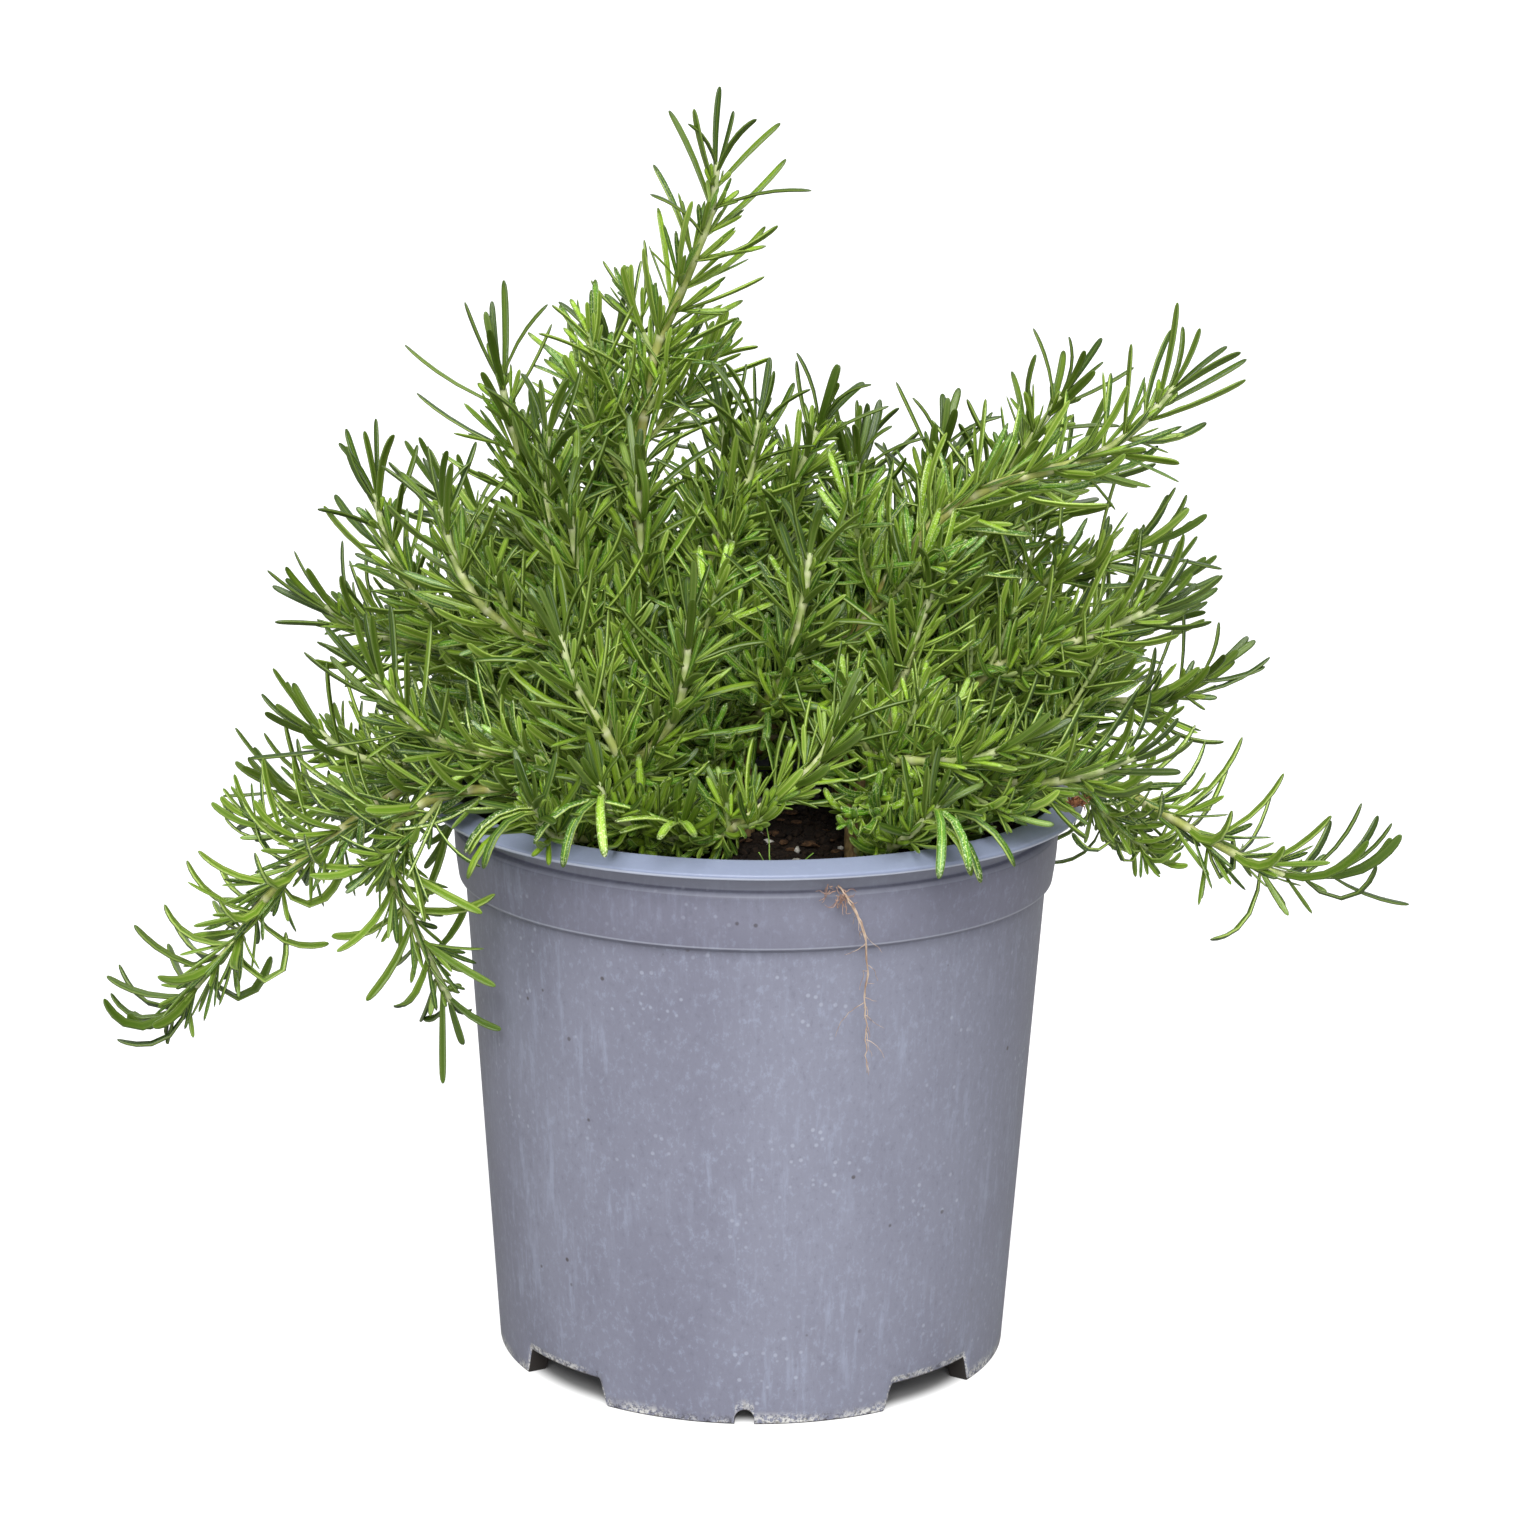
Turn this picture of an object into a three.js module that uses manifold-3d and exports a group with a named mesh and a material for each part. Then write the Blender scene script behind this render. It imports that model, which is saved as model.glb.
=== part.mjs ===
// A rosemary bush in a round plastic nursery pot.
// Millimetres, +Z up. The pot stands on z = 0 and its front faces -Y. Every place below is measured
// from the pot's axis, and the last lines move the whole plant so that its box is centred.
import * as THREE from "three";
import { mergeVertices } from "three/addons/utils/BufferGeometryUtils.js";
import Module from "manifold-3d";

const wasm = await Module();
wasm.setup();

// ---- driving dimensions ----
const GAP = 0.35; // clear space between pieces that touch

const POT = {
  height: 168,
  lipRadius: 95, // outer edge of the lip
  lipInnerRadius: 87.6,
  lipEdge: 164.4, // height of the lip's outer edge
  lipRound: 0.8, // rounding of the lip's edges
  collarRadius: 88, // the band under the lip
  collarBottom: 141.8,
  collarSwell: 1.4, // how far the collar swells from its lower edge to its ridge
  ridgeDrop: 5.2, // the collar's ridge below the lip's edge
  recess: 1.6, // depth of the groove between ridge and lip
  wallTopRadius: 84.8, // the wall just under the collar
  footRadius: 75,
  footWidth: 6,
  footHeight: 12, // the lowest stretch of the wall, at one draft
  wall: 1.5,
  baseHeight: 8, // underside of the raised base
  baseThickness: 2,
  turn: -3, // degrees that the four feet are turned about Z
  segments: 72,
};
const FOOT_GAP = { count: 4, height: 7.9, halfAngle: 11, flare: 3 };
const FOOT_NOTCH = { width: 5.6, height: 4.2 };
const DRAIN = { count: 8, ringRadius: 50, radius: 5, depth: 8, segments: 16 };
const CUT = { depth: 24, margin: 1 }; // how far a cutting shape runs through the foot ring, and below it

const SOIL_TOP = 155;
const SOIL = { edgeDrop: 4, crownRadius: 72, segments: 40 }; // the soil falls away towards the wall
const STEM_SIDES = 5;
const STEM_STEP = 14; // length of stem between two rings
const SHOOT_RADIUS = 1.6; // at its foot, where a shoot names no radius of its own
const TIP_RADIUS = 0.9;
const LEAF = { length: 28, width: 2.8, thickness: 1.3 };

const LEAVES = {
  bare: 0.3, // share of the shoot below the lowest leaves
  openness: 58, // degrees between a low leaf and its stem
  closing: 14, // degrees that the leaves close up towards the tip
  tipOpenness: 28,
  twist: 0.6, // radians from the stem's bending plane to the first pair
  lift: 0.2, // how far the leaves lean up towards the light
  lowLength: 0.75, // of the shoot's longest leaf
  tipLength: 0.95,
};

// Woody stems: where each leaves the soil, and where its top is.
const WOODY_RADIUS = { foot: 3.4, top: 2.4 };
const WOODY_SIDES = 8;
const WOODY_STEPS = 4;
const WOODY_STEMS = {
  woody_stem_front_left: [[-38, -38], [-45, -45, 183]],
  woody_stem_front_right: [[28, -42], [32, -48, 184]],
  woody_stem_left: [[-42, 2], [-55, 0, 192]],
  woody_stem_centre: [[-4, -8], [-2, -12, 196]],
  woody_stem_right: [[42, -2], [52, -4, 192]],
  woody_stem_back_left: [[-22, 36], [-27, 36, 196]],
  woody_stem_back_right: [[26, 36], [32, 42, 192]],
};

// Leafy shoots: the woody stem each one grows from, how far up it, and the shoot's route to its tip.
const SHOOTS = {
  shoot_leader: {
    from: "woody_stem_back_left", at: 1, radius: 2.2, leaf: 31,
    route: [[-35, 22, 232], [-32, 20, 285], [-22, 15, 312], [-15, 12, 330], [-13, 10, 346]],
  },
  shoot_centre_upright: {
    from: "woody_stem_centre", at: 0.95,
    route: [[-13, -10, 225], [-12, -9, 243], [-4, -6, 256], [0, -5, 284]],
  },
  shoot_centre_leaning: {
    from: "woody_stem_centre", at: 1,
    route: [[2, 0, 235], [7, 0, 250], [15, 0, 268], [20, 0, 284]],
  },
  shoot_right_main: {
    from: "woody_stem_centre", at: 0.7, radius: 2.4, leaf: 33,
    route: [
      [25, -16, 213], [45, -18, 243], [60, -20, 257],
      [78, -20, 263], [100, -17, 271], [116, -14, 287],
    ],
  },
  shoot_right_high: {
    from: "woody_stem_right", at: 1,
    route: [[62, 8, 235], [72, 12, 258], [87, 10, 282]],
  },
  shoot_right_mid: {
    from: "woody_stem_right", at: 0.85, leaf: 30,
    route: [[70, 0, 219], [88, 0, 231], [112, 0, 240]],
  },
  shoot_right_low: {
    from: "woody_stem_right", at: 0.7, leaf: 30,
    route: [[70, -14, 208], [90, -14, 214], [114, -12, 224]],
  },
  shoot_right_drooping: {
    from: "woody_stem_right", at: 0.55,
    route: [[80, 6, 186], [105, 8, 192], [118, 8, 192], [130, 6, 200]],
  },
  shoot_right_trailing: {
    from: "woody_stem_right", at: 0.35, radius: 1.9, leaf: 30,
    route: [
      [78, -12, 177], [98, -16, 174], [117, -20, 165],
      [138, -20, 153], [155, -20, 147], [168, -20, 148],
    ],
  },
  shoot_front_right_long: {
    from: "woody_stem_front_right", at: 0.75,
    route: [[60, -55, 182], [80, -58, 183], [95, -60, 187], [104, -60, 191]],
  },
  shoot_front_right: {
    from: "woody_stem_front_right", at: 1,
    route: [[44, -62, 190], [58, -66, 191], [72, -68, 197]],
  },
  shoot_inner_right: {
    from: "woody_stem_front_right", at: 0.95,
    route: [[40, -36, 206], [44, -36, 220], [49, -35, 234]],
  },
  shoot_front_centre: {
    from: "woody_stem_centre", at: 0.15, leaf: 24,
    route: [[-9, -46, 165], [-5, -70, 173], [8, -71, 184], [18, -69, 193], [23, -66, 204]],
  },
  shoot_front_right_rim: {
    from: "woody_stem_front_right", at: 0.15, leaf: 20,
    route: [[36, -66, 166], [42, -77, 173], [49, -83, 183]],
  },
  shoot_rim_right: {
    from: "woody_stem_right", at: 0.15, leaf: 20,
    route: [[52, -40, 168], [60, -58, 172], [66, -70, 178]],
  },
  shoot_left_long: {
    from: "woody_stem_centre", at: 0.5, radius: 2,
    route: [
      [-25, -34, 203], [-41, -38, 213], [-60, -42, 218],
      [-74, -42, 225], [-84, -40, 240], [-88, -38, 256],
    ],
  },
  shoot_left_fork: {
    from: "woody_stem_front_left", at: 1,
    route: [[-48, -34, 204], [-48, -33, 222], [-51, -37, 242], [-53, -38, 258]],
  },
  shoot_front_left_upright: {
    from: "woody_stem_front_left", at: 0.85,
    route: [[-37, -60, 188], [-45, -64, 203], [-51, -64, 213], [-54, -63, 224]],
  },
  shoot_left_front: {
    from: "woody_stem_front_left", at: 0.75,
    route: [[-68, -44, 185], [-83, -47, 188], [-95, -50, 196], [-106, -50, 210]],
  },
  shoot_left_mid: {
    from: "woody_stem_left", at: 0.9,
    route: [[-80, -2, 208], [-92, -2, 217], [-105, -1, 234], [-110, 0, 252]],
  },
  shoot_left_far: {
    from: "woody_stem_left", at: 0.7,
    route: [[-78, 16, 195], [-100, 20, 205], [-114, 20, 207], [-127, 20, 215]],
  },
  shoot_left_tall: {
    from: "woody_stem_left", at: 0.97, leaf: 30,
    route: [[-60, 12, 225], [-66, 11, 250], [-71, 10, 268], [-75, 9, 286]],
  },
  shoot_left_upright: {
    from: "woody_stem_left", at: 0.85,
    route: [[-52, -16, 212], [-59, -14, 236], [-60, -12, 256], [-60, -11, 272]],
  },
  shoot_left_low: {
    from: "woody_stem_left", at: 0.45,
    route: [[-85, -4, 178], [-103, -5, 174], [-116, -5, 176], [-128, -5, 184]],
  },
  shoot_left_trailing: {
    from: "woody_stem_left", at: 0.25, radius: 1.9, leaf: 31,
    route: [
      [-78, -16, 177], [-98, -24, 173], [-120, -29, 158],
      [-137, -30, 143], [-151, -30, 124], [-168, -30, 105],
    ],
  },
  shoot_left_side: {
    from: "woody_stem_left", at: 0.1,
    route: [[-84, 8, 175], [-110, 12, 168], [-128, 14, 158], [-141, 15, 162]],
  },
  shoot_left_hanging: {
    from: "woody_stem_front_left", at: 0.5, leaf: 26,
    route: [
      [-78, -48, 177], [-98, -52, 170], [-103, -50, 158],
      [-98, -46, 142], [-91, -42, 124], [-86, -39, 112],
    ],
  },
  shoot_front_left_rim: {
    from: "woody_stem_front_left", at: 0.2, leaf: 20,
    route: [[-50, -62, 167], [-57, -77, 172], [-60, -84, 182]],
  },
  shoot_front_left_small: {
    from: "woody_stem_front_left", at: 0.35, leaf: 20,
    route: [[-30, -62, 170], [-38, -75, 176], [-43, -80, 187]],
  },
  shoot_over_lip: {
    from: "woody_stem_front_left", at: 0.1, leaf: 18,
    route: [[-26, -58, 165], [-19, -76, 173], [-17, -88, 174]],
  },
  shoot_front_left_middle: {
    from: "woody_stem_front_left", at: 0.9,
    route: [[-25, -54, 195], [-20, -58, 212], [-19, -57, 228]],
  },
  shoot_centre_front: {
    from: "woody_stem_centre", at: 0.85,
    route: [[4, -34, 202], [11, -42, 222], [14, -43, 244]],
  },
  shoot_centre_inner: {
    from: "woody_stem_centre", at: 0.6,
    route: [[-22, -14, 205], [-32, -20, 232], [-34, -24, 262]],
  },
  shoot_top_middle: {
    from: "woody_stem_back_right", at: 0.9,
    route: [[22, 26, 222], [26, 24, 245], [30, 22, 268]],
  },
  shoot_top_right: {
    from: "woody_stem_back_right", at: 1,
    route: [[42, 26, 225], [50, 22, 250], [54, 20, 274]],
  },
  shoot_top_far_right: {
    from: "woody_stem_right", at: 0.78,
    route: [[52, 12, 215], [60, 22, 240], [70, 28, 262]],
  },
  shoot_top_left: {
    from: "woody_stem_back_left", at: 0.9,
    route: [[-22, 16, 222], [-12, 14, 248], [-10, 14, 272]],
  },
  shoot_back_left_upright: {
    from: "woody_stem_back_left", at: 0.8,
    route: [[-44, 38, 218], [-48, 36, 255], [-44, 34, 290]],
  },
  shoot_back_centre: {
    from: "woody_stem_back_left", at: 0.7,
    route: [[-14, 52, 212], [-10, 64, 238], [-8, 68, 262]],
  },
  shoot_back_right_upright: {
    from: "woody_stem_back_right", at: 0.8,
    route: [[26, 60, 212], [28, 72, 240], [32, 76, 264]],
  },
  shoot_back_left_arching: {
    from: "woody_stem_back_left", at: 0.55,
    route: [[-52, 56, 202], [-78, 72, 222], [-98, 82, 238]],
  },
  shoot_back_left_low: {
    from: "woody_stem_back_left", at: 0.4,
    route: [[-62, 48, 186], [-92, 56, 190], [-118, 62, 202]],
  },
  shoot_back_left_trailing: {
    from: "woody_stem_back_left", at: 0.25, radius: 1.9,
    route: [[-46, 66, 178], [-66, 82, 172], [-84, 92, 154], [-96, 96, 132]],
  },
  shoot_back_hanging: {
    from: "woody_stem_back_left", at: 0.12, leaf: 22,
    route: [[-14, 70, 175], [-8, 88, 178], [-4, 101, 168], [-2, 103, 150]],
  },
  shoot_back_low: {
    from: "woody_stem_back_right", at: 0.45,
    route: [[20, 66, 190], [14, 82, 202], [10, 92, 218]],
  },
  shoot_back_right_arching: {
    from: "woody_stem_back_right", at: 0.65,
    route: [[58, 56, 208], [80, 68, 232], [98, 76, 250]],
  },
  shoot_back_right_low: {
    from: "woody_stem_back_right", at: 0.3,
    route: [[64, 54, 182], [94, 62, 188], [118, 68, 202]],
  },
  shoot_back_right_trailing: {
    from: "woody_stem_back_right", at: 0.15, radius: 1.9,
    route: [[58, 66, 177], [82, 80, 172], [100, 90, 154], [110, 94, 130]],
  },
  shoot_right_back: {
    from: "woody_stem_right", at: 0.6,
    route: [[74, 26, 196], [98, 38, 206], [120, 44, 220]],
  },
};

// A thin dry root that hangs from under the lip, a little in front of the wall.
const ROOT = { topRadius: 0.8, tipRadius: 0.5, step: 6, sides: 5 };
const ROOT_ROUTE = [
  [22, -89.2, 162], [27, -89.6, 154], [29, -88.8, 142],
  [28.5, -86.6, 130], [29.5, -85.2, 117], [31, -83.6, 107],
];

// ---- materials ----
const potPlastic = new THREE.MeshStandardMaterial({ color: 0x7f8397, roughness: 0.5, metalness: 0 });
const peat = new THREE.MeshStandardMaterial({ color: 0x2b2018, roughness: 1, metalness: 0 });
const bark = new THREE.MeshStandardMaterial({ color: 0x8a7550, roughness: 0.85, metalness: 0 });
const foliage = new THREE.MeshStandardMaterial({ color: 0x4f8a35, roughness: 0.55, metalness: 0 });
const dryRoot = new THREE.MeshStandardMaterial({ color: 0xb98f76, roughness: 0.9, metalness: 0 });

// ---- solids ----
function solidOf(geometry) {
  const shape = geometry.clone();
  shape.deleteAttribute("normal");
  shape.deleteAttribute("uv");
  const merged = mergeVertices(shape, 1e-4);
  return new wasm.Manifold(
    new wasm.Mesh({
      numProp: 3,
      vertProperties: new Float32Array(merged.attributes.position.array),
      triVerts: new Uint32Array(merged.index.array),
    }),
  );
}

function geometryOf(solid) {
  const mesh = solid.getMesh();
  const geometry = new THREE.BufferGeometry();
  geometry.setAttribute("position", new THREE.BufferAttribute(mesh.vertProperties, 3));
  geometry.setIndex(new THREE.BufferAttribute(mesh.triVerts, 1));
  geometry.computeVertexNormals();
  return geometry;
}

function named(name, solid, material) {
  const mesh = new THREE.Mesh(geometryOf(solid), material);
  mesh.name = name;
  return mesh;
}

function turned(points, segments) {
  const outline = points.map(([radius, height]) => new THREE.Vector2(radius, height));
  return new THREE.LatheGeometry(outline, segments).rotateX(Math.PI / 2);
}

// ---- pot ----
function wallRadius(height) {
  return POT.footRadius + (POT.wallTopRadius - POT.footRadius) * (height / POT.collarBottom);
}

function potShell() {
  const { wall, footRadius, footWidth, footHeight, baseHeight, height } = POT;
  const { collarRadius, collarBottom, collarSwell, ridgeDrop, recess } = POT;
  const { lipRadius, lipInnerRadius, lipEdge, lipRound } = POT;
  const baseTop = baseHeight + POT.baseThickness;
  const grooveRadius = collarRadius - recess;
  const outline = [
    [0, baseHeight],
    [footRadius - footWidth, baseHeight],
    [footRadius - footWidth, 0],
    [footRadius, 0],
    [wallRadius(footHeight), footHeight],
    [wallRadius(collarBottom), collarBottom],
    [collarRadius - collarSwell, collarBottom + 2 * collarSwell],
    [collarRadius - collarSwell / 4, collarBottom + 6 * collarSwell],
    [collarRadius, lipEdge - ridgeDrop],
    [grooveRadius, lipEdge - ridgeDrop + recess],
    [grooveRadius, lipEdge - lipRound],
    [lipRadius - lipRound, lipEdge - lipRound],
    [lipRadius, lipEdge + lipRound / 2],
    [lipRadius - lipRound, lipEdge + 2 * lipRound],
    [lipInnerRadius + lipRound, height],
    [lipInnerRadius, height - lipRound],
    [grooveRadius - wall, lipEdge - ridgeDrop],
    [wallRadius(collarBottom) - wall, collarBottom],
    [wallRadius(baseTop) - wall, baseTop],
    [0, baseTop],
  ];
  return solidOf(turned(outline, POT.segments));
}

// A wedge that opens the foot ring between two feet, wider at the bottom.
function footGap(angle) {
  const middle = POT.footRadius;
  const halfTop = middle * Math.tan(THREE.MathUtils.degToRad(FOOT_GAP.halfAngle));
  const side = new THREE.Shape();
  side.moveTo(-halfTop - FOOT_GAP.flare, -CUT.margin);
  side.lineTo(halfTop + FOOT_GAP.flare, -CUT.margin);
  side.lineTo(halfTop, FOOT_GAP.height);
  side.lineTo(-halfTop, FOOT_GAP.height);
  side.closePath();
  const wedge = new THREE.ExtrudeGeometry(side, { depth: CUT.depth, bevelEnabled: false });
  wedge.rotateX(Math.PI / 2).translate(0, -middle + CUT.depth / 2, 0).rotateZ(angle);
  return solidOf(wedge);
}

// A small arched notch in the bottom of a foot.
function footNotch(angle) {
  const half = FOOT_NOTCH.width / 2;
  const side = new THREE.Shape();
  side.moveTo(-half, -CUT.margin);
  side.lineTo(half, -CUT.margin);
  side.lineTo(half, FOOT_NOTCH.height - half);
  side.absarc(0, FOOT_NOTCH.height - half, half, 0, Math.PI, false);
  side.closePath();
  const arch = new THREE.ExtrudeGeometry(side, { depth: CUT.depth, bevelEnabled: false, curveSegments: 6 });
  arch.rotateX(Math.PI / 2).translate(0, -POT.footRadius + CUT.depth / 2, 0).rotateZ(angle);
  return solidOf(arch);
}

function drainHole(angle) {
  const hole = new THREE.CylinderGeometry(DRAIN.radius, DRAIN.radius, DRAIN.depth, DRAIN.segments);
  const middle = POT.baseHeight + POT.baseThickness / 2;
  hole.rotateX(Math.PI / 2).translate(0, -DRAIN.ringRadius, middle).rotateZ(angle);
  return solidOf(hole);
}

function pot() {
  const turn = THREE.MathUtils.degToRad(POT.turn);
  let shell = potShell();
  for (let i = 0; i < FOOT_GAP.count; i++) {
    const footAngle = turn + (i * 2 * Math.PI) / FOOT_GAP.count;
    shell = shell.subtract(footGap(footAngle + Math.PI / FOOT_GAP.count));
    shell = shell.subtract(footNotch(footAngle));
  }
  for (let i = 0; i < DRAIN.count; i++) {
    shell = shell.subtract(drainHole(turn + (i * 2 * Math.PI) / DRAIN.count));
  }
  return shell;
}

// ---- soil ----
function rootBall() {
  const bottom = POT.baseHeight + POT.baseThickness + GAP;
  const clear = POT.wall + 2 * GAP;
  const outline = [
    [0, bottom],
    [wallRadius(bottom) - clear, bottom],
    [wallRadius(POT.collarBottom) - clear, POT.collarBottom],
    [wallRadius(POT.collarBottom) - clear, SOIL_TOP - SOIL.edgeDrop],
    [SOIL.crownRadius, SOIL_TOP],
    [0, SOIL_TOP],
  ];
  return solidOf(turned(outline, SOIL.segments));
}

// ---- stems ----
function stemCurve(points) {
  return new THREE.CatmullRomCurve3(points, false, "centripetal");
}

function polygonSection(radius, sides) {
  const section = new THREE.Shape();
  for (let i = 0; i < sides; i++) {
    const angle = (i * 2 * Math.PI) / sides;
    const x = radius * Math.cos(angle);
    const y = radius * Math.sin(angle);
    if (i === 0) section.moveTo(x, y);
    else section.lineTo(x, y);
  }
  section.closePath();
  return section;
}

// A tube along a curve, whose radius runs evenly from its foot to its tip.
function taperedTube(curve, steps, footRadius, tipRadius, sides) {
  const tube = new THREE.ExtrudeGeometry(polygonSection(footRadius, sides), {
    steps,
    extrudePath: curve,
    bevelEnabled: false,
  });
  const centres = curve.getSpacedPoints(steps);
  const vertices = tube.attributes.position;
  const vertex = new THREE.Vector3();
  for (let i = 0; i < vertices.count; i++) {
    vertex.fromBufferAttribute(vertices, i);
    const distances = centres.map((centre) => centre.distanceTo(vertex));
    const ring = distances.indexOf(Math.min(...distances));
    const radius = footRadius + (tipRadius - footRadius) * (ring / steps);
    vertex.sub(centres[ring]).setLength(radius).add(centres[ring]);
    vertices.setXYZ(i, vertex.x, vertex.y, vertex.z);
  }
  return solidOf(tube);
}

function stemSteps(curve) {
  return Math.max(3, Math.round(curve.getLength() / STEM_STEP));
}

// ---- leaves ----
// A leaf reaches from the stem's centre line at foot, along direction. Its flat face looks along facing.
function leafSolid(foot, direction, facing, length) {
  const leaf = new THREE.OctahedronGeometry(1, 0);
  leaf.scale(LEAF.width / 2, LEAF.thickness / 2, length / 2);
  const side = new THREE.Vector3().crossVectors(facing, direction).normalize();
  const flat = new THREE.Vector3().crossVectors(direction, side);
  const place = new THREE.Matrix4().makeBasis(side, flat, direction);
  place.setPosition(foot.clone().addScaledVector(direction, length / 2));
  return solidOf(leaf.applyMatrix4(place));
}

// The shortest distance between two straight pieces.
function distanceBetween(a, b) {
  const u = a.end.clone().sub(a.start);
  const v = b.end.clone().sub(b.start);
  const w = a.start.clone().sub(b.start);
  const uu = u.dot(u);
  const uv = u.dot(v);
  const vv = v.dot(v);
  const uw = u.dot(w);
  const vw = v.dot(w);
  const spread = uu * vv - uv * uv;
  let s = spread > 1e-9 ? THREE.MathUtils.clamp((uv * vw - vv * uw) / spread, 0, 1) : 0;
  const t = THREE.MathUtils.clamp((uv * s + vw) / vv, 0, 1);
  s = THREE.MathUtils.clamp((uv * t - uw) / uu, 0, 1);
  return w.addScaledVector(u, s).addScaledVector(v, -t).length();
}

// Whether a straight piece stays off the pot and the soil, tried at points from near its foot to its end.
function clearOfPot(piece) {
  const margin = piece.radius + GAP;
  const innerRadius = wallRadius(POT.collarBottom) - POT.wall;
  const point = new THREE.Vector3();
  for (let share = 0.2; share < 1.05; share += 0.1) {
    point.lerpVectors(piece.start, piece.end, share);
    const radius = Math.hypot(point.x, point.y);
    if (point.z > POT.height + margin) continue;
    if (radius > POT.lipRadius + margin) continue;
    const inside = radius < innerRadius - margin;
    if (!inside || point.z < SOIL_TOP + margin) return false;
  }
  return true;
}

// ---- the bush ----
function woodyCurve([foot, top]) {
  const start = new THREE.Vector3(foot[0], foot[1], SOIL_TOP + GAP);
  const end = new THREE.Vector3(...top);
  const middle = new THREE.Vector3(foot[0], foot[1], (start.z + end.z) / 2);
  return stemCurve([start, middle, end]);
}

// A shoot starts just off the side of its woody stem, or just over its top, and follows its route.
function shootCurve(shoot, woody) {
  const radius = shoot.radius ?? SHOOT_RADIUS;
  const route = shoot.route.map((point) => new THREE.Vector3(...point));
  const start = woody.getPointAt(shoot.at);
  const along = woody.getTangentAt(shoot.at);
  if (shoot.at === 1) return stemCurve([start.addScaledVector(along, radius + GAP), ...route]);
  const outward = route[0].clone().sub(start);
  outward.addScaledVector(along, -outward.dot(along)).normalize();
  const woodyRadius = THREE.MathUtils.lerp(WOODY_RADIUS.foot, WOODY_RADIUS.top, shoot.at);
  return stemCurve([start.addScaledVector(outward, woodyRadius + radius + GAP), ...route]);
}

function pieces(curve, steps, footRadius, tipRadius) {
  const points = curve.getSpacedPoints(steps);
  return points.slice(1).map((end, i) => ({
    start: points[i],
    end,
    radius: footRadius + (tipRadius - footRadius) * (i / steps),
  }));
}

// Leaves stand in opposite pairs halfway between two rings, each pair a quarter turn from the last.
function leavesOf(shoot, curve, steps) {
  const leaves = [];
  const rings = curve.getSpacedPoints(steps);
  const frames = curve.computeFrenetFrames(steps * 2, false);
  const longest = shoot.leaf ?? LEAF.length;
  const up = new THREE.Vector3(0, 0, 1);
  for (let i = Math.floor(steps * LEAVES.bare); i < steps; i++) {
    const share = (i + 0.5) / steps;
    const foot = rings[i].clone().lerp(rings[i + 1], 0.5);
    const along = frames.tangents[2 * i + 1];
    const last = i === steps - 1;
    const turns = last ? [0, 1, 2, 3] : [i % 2, (i % 2) + 2];
    const degrees = last ? LEAVES.tipOpenness : LEAVES.openness - LEAVES.closing * share;
    const openness = THREE.MathUtils.degToRad(degrees);
    for (const quarter of turns) {
      const angle = (quarter * Math.PI) / 2 + LEAVES.twist;
      const outward = frames.normals[2 * i + 1].clone().multiplyScalar(Math.cos(angle));
      outward.addScaledVector(frames.binormals[2 * i + 1], Math.sin(angle));
      const direction = along.clone().multiplyScalar(Math.cos(openness));
      direction.addScaledVector(outward, Math.sin(openness)).addScaledVector(up, LEAVES.lift).normalize();
      const length = longest * (last ? LEAVES.tipLength : THREE.MathUtils.lerp(LEAVES.lowLength, 1, share));
      const end = foot.clone().addScaledVector(direction, length);
      leaves.push({ start: foot, end, direction, facing: along, length, radius: LEAF.width / 2 });
    }
  }
  return leaves;
}

function isClear(leaf, others) {
  if (!clearOfPot(leaf)) return false;
  return others.every((other) => distanceBetween(leaf, other) > leaf.radius + other.radius + GAP);
}

function bush() {
  const group = new THREE.Group();
  const woody = {};
  const taken = [];
  for (const [name, ends] of Object.entries(WOODY_STEMS)) {
    const curve = woodyCurve(ends);
    const { foot, top } = WOODY_RADIUS;
    woody[name] = curve;
    group.add(named(name, taperedTube(curve, WOODY_STEPS, foot, top, WOODY_SIDES), bark));
    for (const piece of pieces(curve, WOODY_STEPS, foot, top)) taken.push({ ...piece, owner: name });
  }
  const shoots = Object.entries(SHOOTS).map(([name, shoot]) => {
    const curve = shootCurve(shoot, woody[shoot.from]);
    const steps = stemSteps(curve);
    const radius = shoot.radius ?? SHOOT_RADIUS;
    for (const piece of pieces(curve, steps, radius, TIP_RADIUS)) taken.push({ ...piece, owner: name });
    return { name, shoot, curve, steps, radius };
  });
  for (const { name, shoot, curve, steps, radius } of shoots) {
    let solid = taperedTube(curve, steps, radius, TIP_RADIUS, STEM_SIDES);
    const placed = [];
    for (const leaf of leavesOf(shoot, curve, steps)) {
      const others = taken.filter((piece) => piece.owner !== name);
      if (!isClear(leaf, others)) continue;
      solid = solid.add(leafSolid(leaf.start, leaf.direction, leaf.facing, leaf.length));
      placed.push({ ...leaf, owner: name });
    }
    taken.push(...placed);
    group.add(named(name, solid, foliage));
  }
  return group;
}

function hangingRoot() {
  const curve = stemCurve(ROOT_ROUTE.map((point) => new THREE.Vector3(...point)));
  const steps = Math.round(curve.getLength() / ROOT.step);
  return taperedTube(curve, steps, ROOT.topRadius, ROOT.tipRadius, ROOT.sides);
}

const plant = new THREE.Group();
plant.add(named("nursery_pot", pot(), potPlastic));
plant.add(named("root_ball", rootBall(), peat));
plant.add(bush());
plant.add(named("hanging_root", hangingRoot(), dryRoot));

// The origin is the middle of the underside of the whole object's box, a little off the pot's axis.
const box = new THREE.Box3().setFromObject(plant);
plant.position.set(-(box.min.x + box.max.x) / 2, -(box.min.y + box.max.y) / 2, 0);

const pottedRosemary = new THREE.Group();
pottedRosemary.add(plant);

export default pottedRosemary;
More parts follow.
